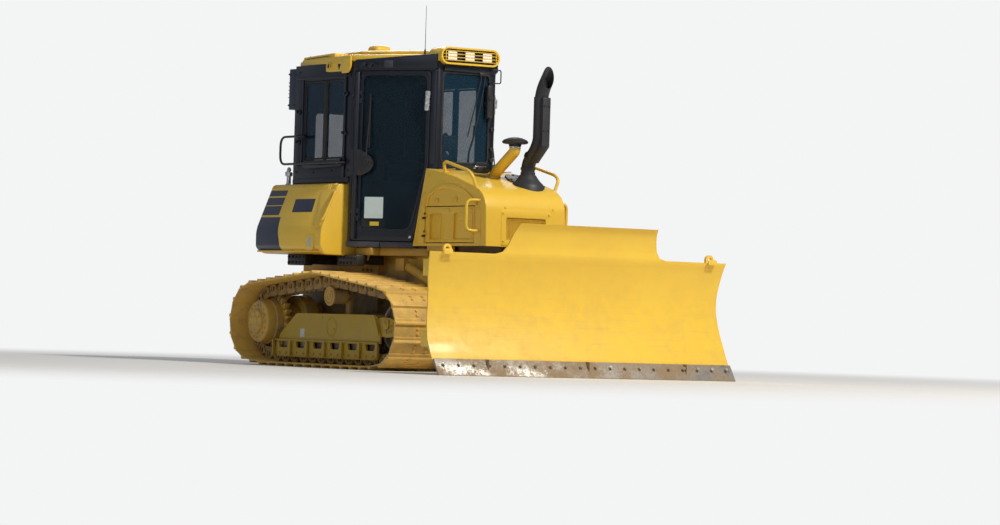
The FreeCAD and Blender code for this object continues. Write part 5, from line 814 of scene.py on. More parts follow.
fit("header_plates", header_plate, plate_grey)

# Window panes of tempered glass in black rubber, two sliding ones on each side. The tint is
# light, so that the far windows show through the near ones.


def tinted(name, tint, alpha, rough=0.02):
    """Tinted glass with a thin uneven film on it, dustier towards its foot."""
    pane, shader, mix, place = new_finish(name)
    film = mix.speckle(place, 3.0, 5.0, 0.6).ramp(0.35, 0.8)
    height = mix.node("SeparateXYZ", None, {0: place}, out=2)
    dusty = film * (1 - height.ramp(1.15, 1.7)) * 0.25
    plug(shader, {"Base Color": mix.blend(dusty, tint, DUST), "Roughness": film * 0.05 + dusty * 0.6 + rough,
                  "Alpha": film * 0.05 + dusty + alpha, "IOR": 1.5})
    return pane


window_glass = tinted("window_glass", (0.012, 0.048, 0.088), 0.40)
rubber = enamel("rubber", (0.012, 0.012, 0.013), dust=0.25, rough=0.55, gloss=0.0, low=2.0)
panes, seals = bmesh.new(), bmesh.new()
for start, end in ((0.203, 0.570), (0.612, 0.948)):
    rim = oblong(start, 1.908, end, 2.637, 0.03)
    hole = oblong(start + 0.018, 1.926, end - 0.018, 2.619, 0.022)
    put(panes, plate(oblong(start + 0.004, 1.912, end - 0.004, 2.633, 0.02), -0.018, -0.012, "z", rounding=0),
        side)
    put(seals, plate(rim, -0.026, -0.004, "z", holes=[hole], rounding=0.003), side)
put(seals, block((0.566, 1.905, -0.022), (0.616, 2.64, -0.002), 0.005), side)
both_sides(panes)
both_sides(seals)
put(panes, plate(oblong(0.048, 1.878, 0.552, 2.697, 0.04), -0.016, -0.010, "z", rounding=0), screen)
put(seals, plate(oblong(0.040, 1.870, 0.560, 2.705, 0.045), -0.008, 0.003, "z",
                 holes=[oblong(0.060, 1.890, 0.540, 2.685, 0.035)], rounding=0.003), screen)
put(panes, plate(oblong(0.213, 1.863, 1.187, 2.377, 0.05), -0.016, -0.010, "z", rounding=0), back)
put(seals, plate(oblong(0.205, 1.855, 1.195, 2.385, 0.055), -0.008, 0.003, "z",
                 holes=[oblong(0.225, 1.875, 1.175, 2.365, 0.045)], rounding=0.003), back)
fit("cab_panes", panes, window_glass, stands_for=["cab_glass"])
fit("window_seals", seals, rubber)

# Cab doors. Each is a pressed frame round one large bonded pane, hung on the widest post.
# It has a wiper with a rounded motor cover outside, a bent pull inside and a bright handle.
door_glass = tinted("door_glass", (0.006, 0.024, 0.038), 0.45)
knee_z = 1.80


def door_line(left, foot, right, low, high, *radii):
    """A door's outline: upright at the hinge, and slanting back below the knee at the front."""
    spots = [(left, low), (foot, low), (right, knee_z), (right, high), (left, high)]
    return [(*spot, radius) for spot, radius in zip(spots, radii)]


for way, name in ((1, "right"), (-1, "left")):
    leaf, pane, trim, handle = (bmesh.new() for _ in range(4))
    put(leaf, plate(door_line(0.026, 0.659, 0.799, 1.161, 2.699, 0.02, 0.03, 0.05, 0.03, 0.02), -0.039, 0,
                    "z", holes=[door_line(0.112, 0.618, 0.766, 1.270, 2.662, 0.05, 0.06, 0.10, 0.06, 0.06)],
                    rounding=0.006), doorway)
    put(leaf, plate(door_line(0.098, 0.630, 0.780, 1.256, 2.676, 0.06, 0.06, 0.10, 0.07, 0.07), -0.003, 0.005,
                    "z", holes=[door_line(0.114, 0.616, 0.764, 1.272, 2.660, 0.05, 0.06, 0.10, 0.06, 0.06)],
                    rounding=0.002), doorway)
    put(leaf, bar(doorway @ Vector((0.060, 1.175, 0.012)), doorway @ Vector((0.060, 2.690, 0.012)), 0.026))
    for z in (1.36, 1.43, 2.43, 2.50):
        put(leaf, block((0.022, z - 0.020, 0.002), (0.11, z + 0.020, 0.020), 0.004), doorway)
        bolts(leaf, [doorway @ Vector((0.092, z, 0.020))], (0.5, -0.866, 0), 0.008, 0.005)
    put(leaf, plate([(0.630, 1.30, 0.01), (0.652, 1.30, 0.01), (0.794, 1.86, 0.01), (0.772, 1.86, 0.01)],
                    -0.002, 0.008, "z", rounding=0.003), doorway)
    put(pane, plate(door_line(0.113, 0.617, 0.765, 1.271, 2.661, 0.05, 0.06, 0.10, 0.06, 0.06), -0.020,
                    -0.014, "z", rounding=0), doorway)
    put(trim, plate([(0.012, 1.99, 0.01), (0.120, 1.985, 0.02), (0.250, 1.90, 0.05), (0.245, 1.80, 0.05),
                     (0.12, 1.745, 0.03), (0.012, 1.765, 0.01)], 0.012, 0.034, "z", rounding=0.008), doorway)
    put(trim, lathe([(0, 0), (0, 0.046), (0.010, 0.048), (0.014, 0.030), (0.030, 0.028), (0.034, 0.014),
                     (0.044, 0.012), (0.044, 0)], (0.195, 1.885, 0.034), UP, 28), doorway)
    put(trim, pipe([(0.195, 1.885, 0.066), (0.192, 2.02, 0.050), (0.190, 2.22, 0.020)], 0.006, 0.03, 8),
        doorway)
    put(trim, block((0.184, 2.00, -0.006), (0.196, 2.49, 0.006), 0.004), doorway)
    put(trim, block((0.181, 2.14, 0.004), (0.199, 2.34, 0.014), 0.004), doorway)
    put(trim, pipe([(0.218, 2.595, -0.036), (0.300, 2.590, -0.075), (0.300, 2.43, -0.075),
                    (0.218, 2.415, -0.036)], 0.008, 0.04, 10), doorway)
    put(handle, plate([(0.752, 2.34, 0.014), (0.800, 2.34, 0.014), (0.806, 2.52, 0.014),
                       (0.758, 2.52, 0.014)], 0.004, 0.022, "z", rounding=0.006), doorway)
    put(handle, bar(doorway @ Vector((0.775, 2.40, 0.024)), doorway @ Vector((0.779, 2.485, 0.024)), 0.014,
                    sides=14))
    put(handle, bar(doorway @ Vector((0.640, 1.20, 0.0)), doorway @ Vector((0.640, 1.20, 0.016)), 0.012,
                    sides=14))
    if way == -1:
        leaf, pane, trim, handle = (other_side(part) for part in (leaf, pane, trim, handle))
    body = "cab_door_" + name
    fit("cab_door_leaf_" + name, leaf, cab_paint, body=body, stands_for=["door_" + name])
    fit("cab_door_pane_" + name, pane, door_glass, body=body, stands_for=[f"door_{name}_glass"])
    fit("door_wiper_" + name, trim, moulded, body=body)
    fit("door_handle_" + name, handle, bright, body=body)

# Blank signs: a notice sheet and a small yellow sign inside the right door's pane, and plain
# labels on the track guards and the tanks.


def plain_sheet(name, colour, rough=0.6):
    """Paper or a thin printed sheet with nothing on it, a little yellowed and creased."""
    made, shader, mix, place = new_finish(name)
    cloud = mix.speckle(place, 14.0, 5.0)
    bump = mix.node("Bump", None, {"Height": cloud, "Strength": 0.2, "Distance": 0.003})
    plug(shader, {"Base Color": mix.blend(cloud.ramp(0.4, 0.7) * 0.25, colour,
                                          tuple(c * 0.8 for c in colour)), "Normal": bump,
                  "Roughness": rough})
    return made


notice = bmesh.new()
put(notice, plate(oblong(0.152, 1.365, 0.344, 1.558, 0.004), -0.0138, -0.0125, "z", rounding=0), doorway)
fit("door_notice_sheet", notice, plain_sheet("notice_paper", (0.72, 0.84, 0.83)), body="cab_door_right")
sign = bmesh.new()
put(sign, plate(oblong(0.212, 1.298, 0.305, 1.334, 0.004), -0.0138, -0.0125, "z", rounding=0), doorway)
fit("door_plain_sign", sign, plain_sheet("sign_yellow", (0.85, 0.60, 0.05), 0.4), body="cab_door_right")
labels = plate(oblong(-0.495, 0.268, -0.415, 0.345), -0.9462, -0.9445, "y", rounding=0)
put(labels, plate(oblong(-0.312, 1.090, -0.250, 1.180), -1.0055, -1.0035, "y", rounding=0))
fit("blank_labels", labels, plain_sheet("label_grey", (0.55, 0.56, 0.52), 0.5))

# Seat: two foam pads in woven cloth with sewn piping, on a moulded base. The pads are blown
# up a little as cloth, so that their faces crown and their corners pull in.


def woven(name, colour, other):
    """Dark upholstery cloth: a fine over-and-under weave with worn, paler patches."""
    made, shader, mix, place = new_finish(name)
    rows = [mix.node("TexWave", {"bands_direction": axis}, {"Vector": place, "Scale": 160.0,
                                                            "Distortion": 0.6}, out=1) for axis in "XYZ"]
    weave = rows[0] * 0.34 + rows[1] * 0.33 + rows[2] * 0.33
    worn = mix.speckle(place, 7.0, 4.0).ramp(0.4, 0.75)
    bump = mix.node("Bump", None, {"Height": weave, "Strength": 0.4, "Distance": 0.001})
    plug(shader, {"Base Color": mix.blend(weave.ramp(0.3, 0.7) * 0.5 + worn * 0.2, colour, other),
                  "Normal": bump, "Roughness": 0.85, "Sheen Weight": 0.3})
    return made


def baked(pad):
    """The mesh that a pad's modifiers give, which are then taken off it."""
    mesh = bpy.data.meshes.new_from_object(pad.evaluated_get(bpy.context.evaluated_depsgraph_get()))
    pad.modifiers.clear()
    return mesh


def blown(name, part, finish, most=0.024):
    """A stuffed pad: its cover is relaxed as cloth under a little pressure, up to a limit."""
    bmesh.ops.translate(part, verts=part.verts, vec=(mid, 0, 0))
    mesh = bpy.data.meshes.new(name)
    part.to_mesh(mesh)
    part.free()
    pad = bpy.data.objects.new(name, mesh)
    bpy.context.scene.collection.objects.link(pad)
    scene = bpy.context.scene
    cover = pad.modifiers.new("cover", "REMESH")
    cover.mode, cover.voxel_size = "VOXEL", 0.006
    pad.data = shaped = baked(pad)
    before = [vert.co.copy() for vert in shaped.vertices]
    cloth = pad.modifiers.new("stuffing", "CLOTH")
    cloth.settings.use_pressure = True
    cloth.settings.uniform_pressure_force = 4
    cloth.settings.effector_weights.gravity = 0
    cloth.point_cache.frame_start, cloth.point_cache.frame_end = 1, 20
    for frame_number in range(1, 21):
        scene.frame_set(frame_number)
    swollen = baked(pad)
    scene.frame_set(1)
    for vert, rest in zip(swollen.vertices, before):
        moved = vert.co - rest
        if moved.length > most:
            vert.co = rest + moved.normalized() * most
    pad.data = swollen
    pad.data.name = name
    pad.data.shade_smooth()
    pad.data.materials.append(finish)
    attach(pad, "chassis")


seat_cloth = woven("seat_cloth", (0.030, 0.033, 0.040), (0.060, 0.064, 0.072))
blown("seat_pad", block((-0.685, -0.225, 1.830), (-0.255, 0.225, 1.910), 0.030, 5), seat_cloth)
rest = block((-0.690, -0.222, 1.935), (-0.610, 0.222, 2.510), 0.030, 5)
shoulders = [e for e in rest.edges
             if min(v.co.z for v in e.verts) > 2.45 and abs(abs(e.verts[0].co.y) - 0.222) < 0.035]
ease(rest, shoulders, 0.002, 1)
blown("seat_back_pad", rest, seat_cloth)
under = block((-0.66, -0.19, 1.722), (-0.29, 0.19, 1.812), 0.02, 3)
put(under, block((-0.705, -0.235, 1.805), (-0.245, 0.235, 1.825), 0.008))
put(under, block((-0.710, -0.200, 1.900), (-0.695, 0.200, 2.480), 0.006))
for way in (-1, 1):
    put(under, pipe([(-0.71, way * 0.21, 1.82), (-0.715, way * 0.21, 2.0), (-0.715, way * 0.17, 2.50),
                     (-0.715, way * 0.05, 2.52)], 0.009, 0.04, 8))
put(under, pipe([(-0.682, -0.243, 1.868), (-0.258, -0.243, 1.868), (-0.238, -0.22, 1.868),
                 (-0.238, 0.22, 1.868), (-0.258, 0.243, 1.868), (-0.682, 0.243, 1.868)], 0.0035, 0.03, 8))
fit("seat_frame", under, moulded, stands_for=["seat"])

# Armrest consoles with control levers, the instrument column and its monitor: moulded
# black plastic with a soft grain. The monitor's screen is dark and blank.
desk = bmesh.new()
for y in (-0.365, 0.365):
    put(desk, block((-0.60, y - 0.070, 1.722), (-0.16, y + 0.070, 2.000), 0.022, 3))
    put(desk, block((-0.57, y - 0.045, 2.0), (-0.30, y + 0.045, 2.045), 0.020, 3))
    put(desk, lathe([(0, 0), (0, 0.040), (0.012, 0.036), (0.030, 0.020), (0.036, 0.016), (0.110, 0.014),
                     (0.120, 0.024), (0.150, 0.030), (0.185, 0.027), (0.205, 0.015), (0.208, 0)],
                    (-0.20, y, 1.995), (0.1, 0, 1), 20))
put(desk, plate([(0.56, 1.14), (0.675, 1.14), (0.675, 1.84, 0.04), (0.50, 1.80, 0.04), (0.53, 1.60, 0.05)],
                -0.185, 0.185, "y", rounding=0.012))
put(desk, block((0.535, -0.145, 1.99), (0.585, 0.010, 2.135), 0.014, 3))
put(desk, pipe([(0.60, -0.07, 1.80), (0.60, -0.07, 1.93), (0.575, -0.07, 2.03)], 0.014, 0.04, 10))
put(desk, pipe([(0.60, 0.12, 1.80), (0.60, 0.12, 1.98), (0.56, 0.20, 2.14), (0.56, 0.20, 2.24)], 0.009, 0.05,
               8))
for y in (-0.16, 0.16):
    put(desk, plate([(0.40, 1.22), (0.42, 1.21), (0.47, 1.36), (0.45, 1.37)], y - 0.045, y + 0.045, "y",
                    rounding=0.003))
    put(desk, bar((0.455, y, 1.355), (0.54, y, 1.25), 0.010, sides=10))
fit("cab_controls", desk, moulded, stands_for=["controls"])
screen_pane = block((0.529, -0.130, 2.005), (0.534, -0.005, 2.120), 0.003)
fit("monitor_screen", screen_pane, tinted("screen_glass", (0.012, 0.016, 0.020), 0.95))

# Roof. A pressed yellow cap with a raised crown; its rear half has a deeper side skirt with
# two lamp sockets. It carries the rounded receiver dome, the whip aerial and small fittings.
roof_paint = enamel("roof_paint", yellow, dust=0.15, rough=0.34)


def mirrored(outline):
    return outline + [(x, -y, *more) for x, y, *more in reversed(outline)]


roof = plate(mirrored([(-1.112, -0.672, 0.06), (-0.04, -0.765, 0.06), (0.56, -0.415, 0.01)]), 2.79, 2.850,
             "z", rounding=0.018, steps=8)
put(roof, plate(mirrored([(0.55, -0.42, 0.01), (0.64, -0.372, 0.05), (0.66, -0.33, 0.01)]), 2.79, 2.830, "z",
                rounding=0.010))
put(roof, plate(mirrored([(-0.99, -0.54, 0.06), (-0.06, -0.615, 0.08), (0.555, -0.26, 0.03)]), 2.845, 2.896,
                "z", rounding=0.022, steps=8))
skirt = wall((-1.11, -0.67), (-0.04, -0.765))
half = bmesh.new()
put(half, plate([(-0.006, 2.712, 0.02), (1.02, 2.705, 0.03), (1.06, 2.75, 0.02), (1.06, 2.83),
                 (-0.006, 2.83)], -0.024, 0.002, "z", rounding=0.010), skirt)
put(half, plate([(0.895, 2.685, 0.02), (1.045, 2.685, 0.03), (1.085, 2.74, 0.02), (1.080, 2.845, 0.02),
                 (0.895, 2.83, 0.02)], -0.006, 0.012, "z", rounding=0.009), skirt)
for u, z, radius in ((0.62, 2.765, 0.030), (0.66, 2.767, 0.020)):
    socket_rim = [(0, 0), (0, radius), (0.010, radius + 0.004), (0.012, radius - 0.004),
                  (0.002, radius - 0.008), (0.001, 0)]
    put(half, lathe(socket_rim, (u, z, 0.001), UP, 24), skirt)
put(half, block((-0.012, 2.702, -0.020), (0.085, 2.772, 0.018), 0.012), skirt)
put(half, plate([(0.035, 2.84, 0.01), (0.70, 2.84, 0.01), (0.70, 2.885, 0.015), (0.035, 2.872, 0.015)], -0.15,
                -0.012, "z", rounding=0.009), skirt)
for u in (0.10, 0.26, 0.42, 0.58, 0.68):
    bolts(half, [skirt @ Vector((u, 2.876, -0.05))], UP, 0.008, 0.008)
for u in (0.76, 0.84, 1.0):
    bolts(half, [skirt @ Vector((u, 2.850, -0.05))], UP, 0.009, 0.010)
both_sides(half)
put(roof, half)
put(roof, block((-0.238, -0.485, 2.862), (-0.066, -0.315, 2.956), 0.040, 6))
put(roof, plate(oblong(-0.27, -0.51, -0.03, -0.29, 0.03), 2.848, 2.868, "z", rounding=0.006))
for x in (-0.90, -0.50, 0.30):
    bolts(roof, [(x, y, 2.896) for y in (-0.35, 0.0, 0.35)], UP, 0.009, 0.006)
fit("cab_roof_cap", roof, roof_paint, stands_for=["cab_roof"], crease=36)

# Aerial and roof fittings: a thin whip on a rubber foot, a breather cap, a cover plate and the
# dark inner faces of the skirt's sockets, all black plastic, and a thin black strip of painted
# shade for the slit in the skirt's upper tier.
aerial_x, aerial_y = 0.525, -0.33
whip = bar((aerial_x, aerial_y, 2.845), (aerial_x, aerial_y, 3.295), 0.0032, 0.0018, 10, 0)
put(whip, lathe([(0, 0), (0, 0.026), (0.010, 0.026), (0.016, 0.014), (0.050, 0.010), (0.070, 0.006),
                 (0.072, 0)], (aerial_x, aerial_y, 2.83), UP, 20))
put(whip, lathe([(0, 0), (0, 0.020), (0.02, 0.018), (0.032, 0.006), (0.034, 0)], (0.06, -0.50, 2.85), UP, 16))
# Painted shade: the thin black strip on the skirt's upper tier stands for the dark slit there.
sockets = plate([(0.10, 2.849, 0.002), (0.60, 2.857, 0.002), (0.60, 2.864, 0.002), (0.10, 2.855, 0.002)],
                -0.014, -0.010, "z", rounding=0)
put(sockets, plate([(0.80, 2.775, 0.004), (0.865, 2.775, 0.004), (0.832, 2.715, 0.008)], 0.0, 0.004, "z",
                   rounding=0.001))
for u, z, radius in ((0.62, 2.765, 0.021), (0.66, 2.767, 0.011)):
    put(sockets, lathe([(0, 0), (0, radius), (0.006, radius - 0.002), (0.006, 0)], (u, z, 0.004), UP, 20))
sockets.transform(skirt)
both_sides(sockets)
put(whip, sockets)
put(whip, plate([(0.02, -0.62, 0.01), (0.17, -0.555, 0.01), (0.17, -0.52, 0.01), (0.02, -0.56, 0.01)], 2.85,
                2.862, "z", rounding=0.003))
fit("roof_aerial", whip, moulded)

# Rear air unit: a moulded dark blue cover with rounded corners and cooling slots, hung on the
# cab's back wall on two feet. It is bolted on from behind.
air_blue = enamel("air_blue", (0.016, 0.034, 0.066), dust=0.15, rough=0.38, gloss=0.1)
cover = plate(mirrored([(-1.142, -0.698), (-1.290, -0.698, 0.055), (-1.323, -0.636, 0.06)]), 2.392, 2.768,
              "z", rounding=0.042, steps=8)
for n in range(9):
    put(cover, block((-1.327, -0.48, 2.47 + n * 0.026), (-1.318, 0.48, 2.482 + n * 0.026), 0.003, 1))
for y in (-0.60, 0.60):
    put(cover, block((-1.24, y - 0.05, 2.384), (-1.15, y + 0.05, 2.40), 0.005))
bolts(cover, [(-1.324, y, z) for y in (-0.58, 0.58) for z in (2.46, 2.70)], BEHIND, 0.008, 0.006)
vents = bmesh.new()
for n in range(5):
    put(vents, block((-1.27, -0.701, 2.50 + n * 0.034), (-1.17, -0.696, 2.508 + n * 0.034), 0.002, 1))
bolts(vents, [(x, -0.698, z) for x in (-1.26, -1.17) for z in (2.43, 2.72)], RIGHT, 0.008, 0.006)
both_sides(vents)
put(cover, vents)
fit("air_unit_cover", cover, air_blue, stands_for=["rear_air_unit"], crease=40)

# Lamp housing over the windscreen: a yellow shell with round ends, open in front, with four
# guard bars before three square work lamps.
shell = plate(oblong(-0.314, 2.764, 0.314, 2.920, 0.077), 0.725, 0.780, "x", rounding=0.004,
              holes=[oblong(-0.298, 2.780, 0.298, 2.904, 0.062)], steps=10)
put(shell, plate([(-0.314, 2.792, 0.01), (0.314, 2.792, 0.01), (0.314, 2.920, 0.077), (-0.314, 2.920, 0.077)],
                 0.560, 0.728, "x", rounding=0.004, steps=10))
for z in (2.800, 2.828, 2.857, 2.885):
    reach = 0.298 - 0.062 + math.sqrt(max(0, 0.062 ** 2 - (z - 2.842) ** 2)) + 0.004
    put(shell, pipe([(0.760, -reach, z), (0.788, -reach + 0.03, z), (0.788, reach - 0.03, z),
                     (0.760, reach, z)], 0.0036, 0.02, 8))
for y in (-0.27, 0.27):
    put(shell, pipe([(0.788, y, 2.796), (0.788, y, 2.889)], 0.004, 0.02, 8))
fit("lamp_shell", shell, roof_paint, stands_for=["lamp_housing"], crease=36)
lamp_cases, lenses = bmesh.new(), bmesh.new()
lamp_spacing = 0.187
for y in (-lamp_spacing, 0.0, lamp_spacing):
    put(lamp_cases, plate(oblong(y - 0.058, 2.795, y + 0.058, 2.890, 0.010), 0.735, 0.770, "x",
                          holes=[oblong(y - 0.050, 2.803, y + 0.050, 2.882, 0.008)], rounding=0.002))
    put(lenses, plate(oblong(y - 0.051, 2.802, y + 0.051, 2.883, 0.008), 0.758, 0.764, "x", rounding=0.001))
    for z in (2.822, 2.842, 2.863):
        put(lenses, block((0.763, y - 0.048, z - 0.002), (0.766, y + 0.048, z + 0.002), 0.0008, 1))
put(lamp_cases, block((0.725, -0.29, 2.785), (0.738, 0.29, 2.90), 0.004))
fit("lamp_cases", lamp_cases, moulded, stands_for=["work_lamps"])


def lens_glass():
    """Fluted glass before a warm reflector, which glows a little."""
    made, shader, mix, place = new_finish("lamp_glass")
    flutes = mix.node("TexWave", {"bands_direction": "Y"}, {"Vector": place, "Scale": 28.0}, out=1)
    cloud = mix.speckle(place, 18.0, 3.0)
    plug(shader, {"Base Color": mix.blend(flutes * 0.35 + cloud * 0.25,
                                          (0.95, 0.90, 0.80), (0.80, 0.66, 0.50)),
                  "Emission Color": mix.blend(flutes * 0.5, (0.95, 0.86, 0.72), (0.55, 0.42, 0.30)),
                  "Emission Strength": 0.35, "Roughness": 0.08,
                  "Normal": mix.node("Bump", None, {"Height": flutes, "Strength": 0.3, "Distance": 0.002})})
    return made


fit("lamp_lenses", lenses, lens_glass())

# Cab rails and the other black fittings of the cab's walls: bent tube on brackets, painted
# black and clipped to the walls. The door hinges are forged black knuckles.
rail_y, rail_rear, rail_low, rail_top = -0.795, -1.220, 1.870, 2.125
rails = pipe([(-0.150, rail_y, rail_low), (rail_rear, rail_y, rail_low), (rail_rear, rail_y, rail_top),
              (-0.905, rail_y, rail_top), (-0.880, -0.74, rail_top)], 0.011, 0.09, 12, 7)
for x, z in ((-0.18, rail_low), (-0.92, rail_low), (-0.92, rail_top), (-0.55, rail_low)):
    put(rails, block((x - 0.014, -0.800, z - 0.016), (x + 0.014, -0.708, z + 0.016), 0.004))
put(rails, pipe([(-0.150, rail_y, rail_low), (-0.110, -0.79, rail_low), (-0.09, -0.765, rail_low)], 0.011,
                0.02, 12))
both_sides(rails)
put(rails, pipe([(0.715, 0.24, 2.62), (0.772, 0.25, 2.62), (0.772, 0.335, 2.62), (0.772, 0.335, 2.74),
                 (0.772, 0.25, 2.74), (0.715, 0.24, 2.74)], 0.006, 0.02, 8))
put(rails, block((0.722, 0.205, 2.30), (0.768, 0.265, 2.60), 0.014, 3))
put(rails, lathe([(0, 0), (0, 0.022), (0.02, 0.026), (0.04, 0.026), (0.042, 0)], (0.735, 0.236, 2.487), AHEAD,
                 16))
for z in (2.20, 2.02, 1.92):
    put(rails, block((0.722, 0.262, z - 0.015), (0.745, 0.30, z + 0.015), 0.004))
put(rails, pipe([(0.735, 0.285, 2.60), (0.745, 0.292, 2.3), (0.738, 0.288, 2.0), (0.730, 0.290, 1.84)], 0.006,
                0.05, 8))
put(rails, pipe([(0.728, 0.16, 2.69), (0.735, 0.10, 2.45), (0.732, 0.02, 2.12)], 0.005, 0.05, 8))
put(rails, pipe([(0.728, 0.20, 2.69), (0.737, 0.15, 2.42), (0.732, 0.075, 2.08)], 0.005, 0.05, 8))
put(rails, block((0.724, 0.13, 2.68), (0.742, 0.23, 2.71), 0.006))
fit("cab_grab_rails", rails, black_tube, stands_for=["cab_rails"])
knuckles = ground_edges(recast("door_hinges"), 0.002)
fit("hinge_knuckles", knuckles, black_tube, stands_for=["door_hinges"])

# Hood. A pressed shell slopes from the windscreen down to a rounded nose, with a large
# radius at its front corners. Each side has an opening for an engine door under a raised
# arch, and the nose has a bolted panel with fine mesh.
hood_paint = enamel("hood_paint", yellow, dust=0.14, rough=0.36, gloss=0.25)
hood_half = 0.42
door_rear, door_front, door_low, door_top = 0.754, 1.566, 1.144, 1.476
mesh_half, mesh_low, mesh_top = 0.21, 1.175, 1.378
hood = plate([(0.56, 1.12), (1.76, 1.12), (1.742, 1.52, 0.085), (1.625, 1.632, 0.085), (1.02, 1.795, 0.30),
              (0.748, 1.815)], -hood_half, hood_half, "y", rounding=0, steps=8)
bmesh.ops.dissolve_limit(hood, angle_limit=0.001, verts=hood.verts, edges=hood.edges,
                         use_dissolve_boundaries=False)
hood.normal_update()
rim = [e for e in hood.edges if len(e.link_faces) == 2 and e.calc_face_angle(0) > 0.9
       and abs(e.verts[0].co.y - e.verts[1].co.y) < 0.01
       and max(v.co.z for v in e.verts) > 1.13 and min(v.co.x for v in e.verts) > 0.74]
ease(hood, rim, 0.085, 8)
unseen = [f for f in hood.faces if f.calc_center_median().z < 1.121 or f.normal.x < -0.8]
bmesh.ops.delete(hood, geom=unseen, context="FACES")


def whole(part):
    return part.verts[:] + part.edges[:] + part.faces[:]


for place, direction in (((door_rear, 0, 0), AHEAD), ((door_front, 0, 0), AHEAD), ((0, 0, door_low), UP),
                         ((0, 0, door_top), UP), ((0, 0, mesh_low), UP), ((0, 0, mesh_top), UP),
                         ((0, -mesh_half, 0), LEFT), ((0, mesh_half, 0), LEFT)):
    bmesh.ops.bisect_plane(hood, geom=whole(hood), dist=1e-5, plane_co=place, plane_no=direction)
openings = []
for face in hood.faces:
    spot = face.calc_center_median()
    beside = door_rear < spot.x < door_front and door_low < spot.z < door_top
    ahead = spot.x > 1.735 and abs(spot.y) < mesh_half and mesh_low < spot.z < mesh_top
    if beside or ahead:
        openings.append(face)
bmesh.ops.delete(hood, geom=openings, context="FACES")
bmesh.ops.recalc_face_normals(hood, faces=hood.faces)
bmesh.ops.solidify(hood, geom=hood.faces[:], thickness=0.016)
arch = [(0.775, 1.500), (0.80, 1.585), (0.90, 1.645), (1.05, 1.672), (1.22, 1.668), (1.40, 1.620),
        (1.54, 1.545), (1.62, 1.478)]
details = bmesh.new()
inner_arch = [(x * 0.94 + 0.075, z - 0.024 - 0.018 * math.sin((x - 0.775) * 3.7))
              for x, z in reversed(arch[:-1])]
put(details, plate(arch + [(1.58, 1.478)] + inner_arch + [(0.80, 1.478)], -0.432, -0.417, "y",
                   rounding=0.007))
put(details, plate([(0.60, 1.14, 0.01), (0.748, 1.14, 0.01), (0.748, 1.60, 0.02), (0.715, 1.60, 0.02)],
                   -0.426, -0.418, "y", rounding=0.004))
put(details, plate([(1.58, 1.14, 0.01), (1.67, 1.14, 0.02), (1.67, 1.46, 0.03), (1.58, 1.46, 0.01)], -0.424,
                   -0.418, "y", rounding=0.003))
for x, z in ((0.947, 1.520), (1.252, 1.530)):
    put(details, block((x - 0.030, -0.436, z - 0.020), (x + 0.030, -0.418, z + 0.020), 0.004))
    bolts(details, [(x, -0.436, z)], RIGHT, 0.010, 0.007)
for x, z in ((0.80, 1.75), (1.04, 1.70), (1.30, 1.655), (1.60, 1.43), (1.63, 1.20), (0.73, 1.30),
             (0.70, 1.16)):
    put(details, lathe([(0, 0), (0, 0.011), (0.004, 0.010), (0.006, 0.005), (0.006, 0)], (x, -0.4205, z),
                       RIGHT, 14))
both_sides(details)
put(hood, details)


# The nose leans back a little. Its plates are drawn as (left, up) from the middle of its foot.
nose_x, nose_z, nose_lean = 1.76, 1.12, 0.045
nose = Matrix.Translation((nose_x, 0, nose_z)) @ axes(LEFT, (-nose_lean, 0, 0.999), (0.999, 0, nose_lean))
put(hood, plate([(-0.262, 0.01, 0.02), (0.262, 0.01, 0.02), (0.262, 0.325, 0.03), (-0.262, 0.325, 0.03)],
                -0.002, 0.005, "z", rounding=0.002, holes=[oblong(-0.208, 0.058, 0.208, 0.256, 0.012)]), nose)
for y, z in ((-0.242, 0.295), (0.242, 0.295), (-0.242, 0.05), (0.242, 0.05)):
    put(hood, hexagon_bolt(0.009, 0.007), nose @ Matrix.Translation((y, z, 0.005)))
for y in (-0.216, 0.289):
    spot = (nose_x - (1.465 - nose_z) * nose_lean, y, 1.465)
    put(hood, lathe([(0, 0), (0, 0.012), (0.004, 0.011), (0.006, 0)], spot, (1, 0, nose_lean), 16))
wire = 0.0016
for y in [-0.205 + n * 0.01414 for n in range(30)]:
    put(hood, block((y - wire, 0.054, -0.010), (y + wire, 0.26, -0.006), 0), nose)
for z in [0.060 + n * 0.01394 for n in range(15)]:
    put(hood, block((-0.210, z - wire, -0.008), (0.210, z + wire, -0.004), 0), nose)
put(hood, plate(oblong(-0.20, 0.02, 0.20, 0.30), -0.052, -0.048, "z", rounding=0.001), nose)
for y in (-0.30, 0.30):
    put(hood, block((0.78, y - 0.004, 1.806), (1.04, y + 0.004, 1.816), 0.002))
for x, y in ((0.90, -0.25), (0.90, 0.25), (1.10, -0.25), (1.10, 0.25)):
    put(hood, lathe([(0, 0), (0, 0.013), (0.005, 0.012), (0.008, 0)], (x, y, 1.812 if x < 1 else 1.783),
                    (0.2, 0, 1), 14))
fit("hood_shell", hood, hood_paint, stands_for=["hood"], crease=34)

# Grab rails along the hood's top edges and grab handles at its front corners: bent tube,
# painted with the hood, with a round foot at each end.
hood_rail = pipe([(1.045, -0.400, 1.755), (1.070, -0.440, 1.850), (1.130, -0.460, 1.868),
                  (1.510, -0.460, 1.782), (1.572, -0.458, 1.738), (1.578, -0.398, 1.595)], 0.0145, 0.045, 14)
for place, course in (((1.046, -0.401, 1.776), (0, -0.2, 1)), ((1.578, -0.400, 1.628), (0, -0.35, 1))):
    put(hood_rail, lathe([(0, 0), (0, 0.028), (0.008, 0.026), (0.010, 0)], place, course, 18))
out = Vector((-0.39, -0.92, 0))
top_end, low_end = Vector((1.650, -0.415, 1.52)), Vector((1.650, -0.415, 1.25))
put(hood_rail, pipe([top_end, top_end + out * 0.125, low_end + out * 0.125, low_end], 0.0145, 0.055, 14))
for end in (top_end, low_end):
    put(hood_rail, lathe([(0, 0), (0, 0.024), (0.008, 0.022), (0.010, 0)], end, out, 18))
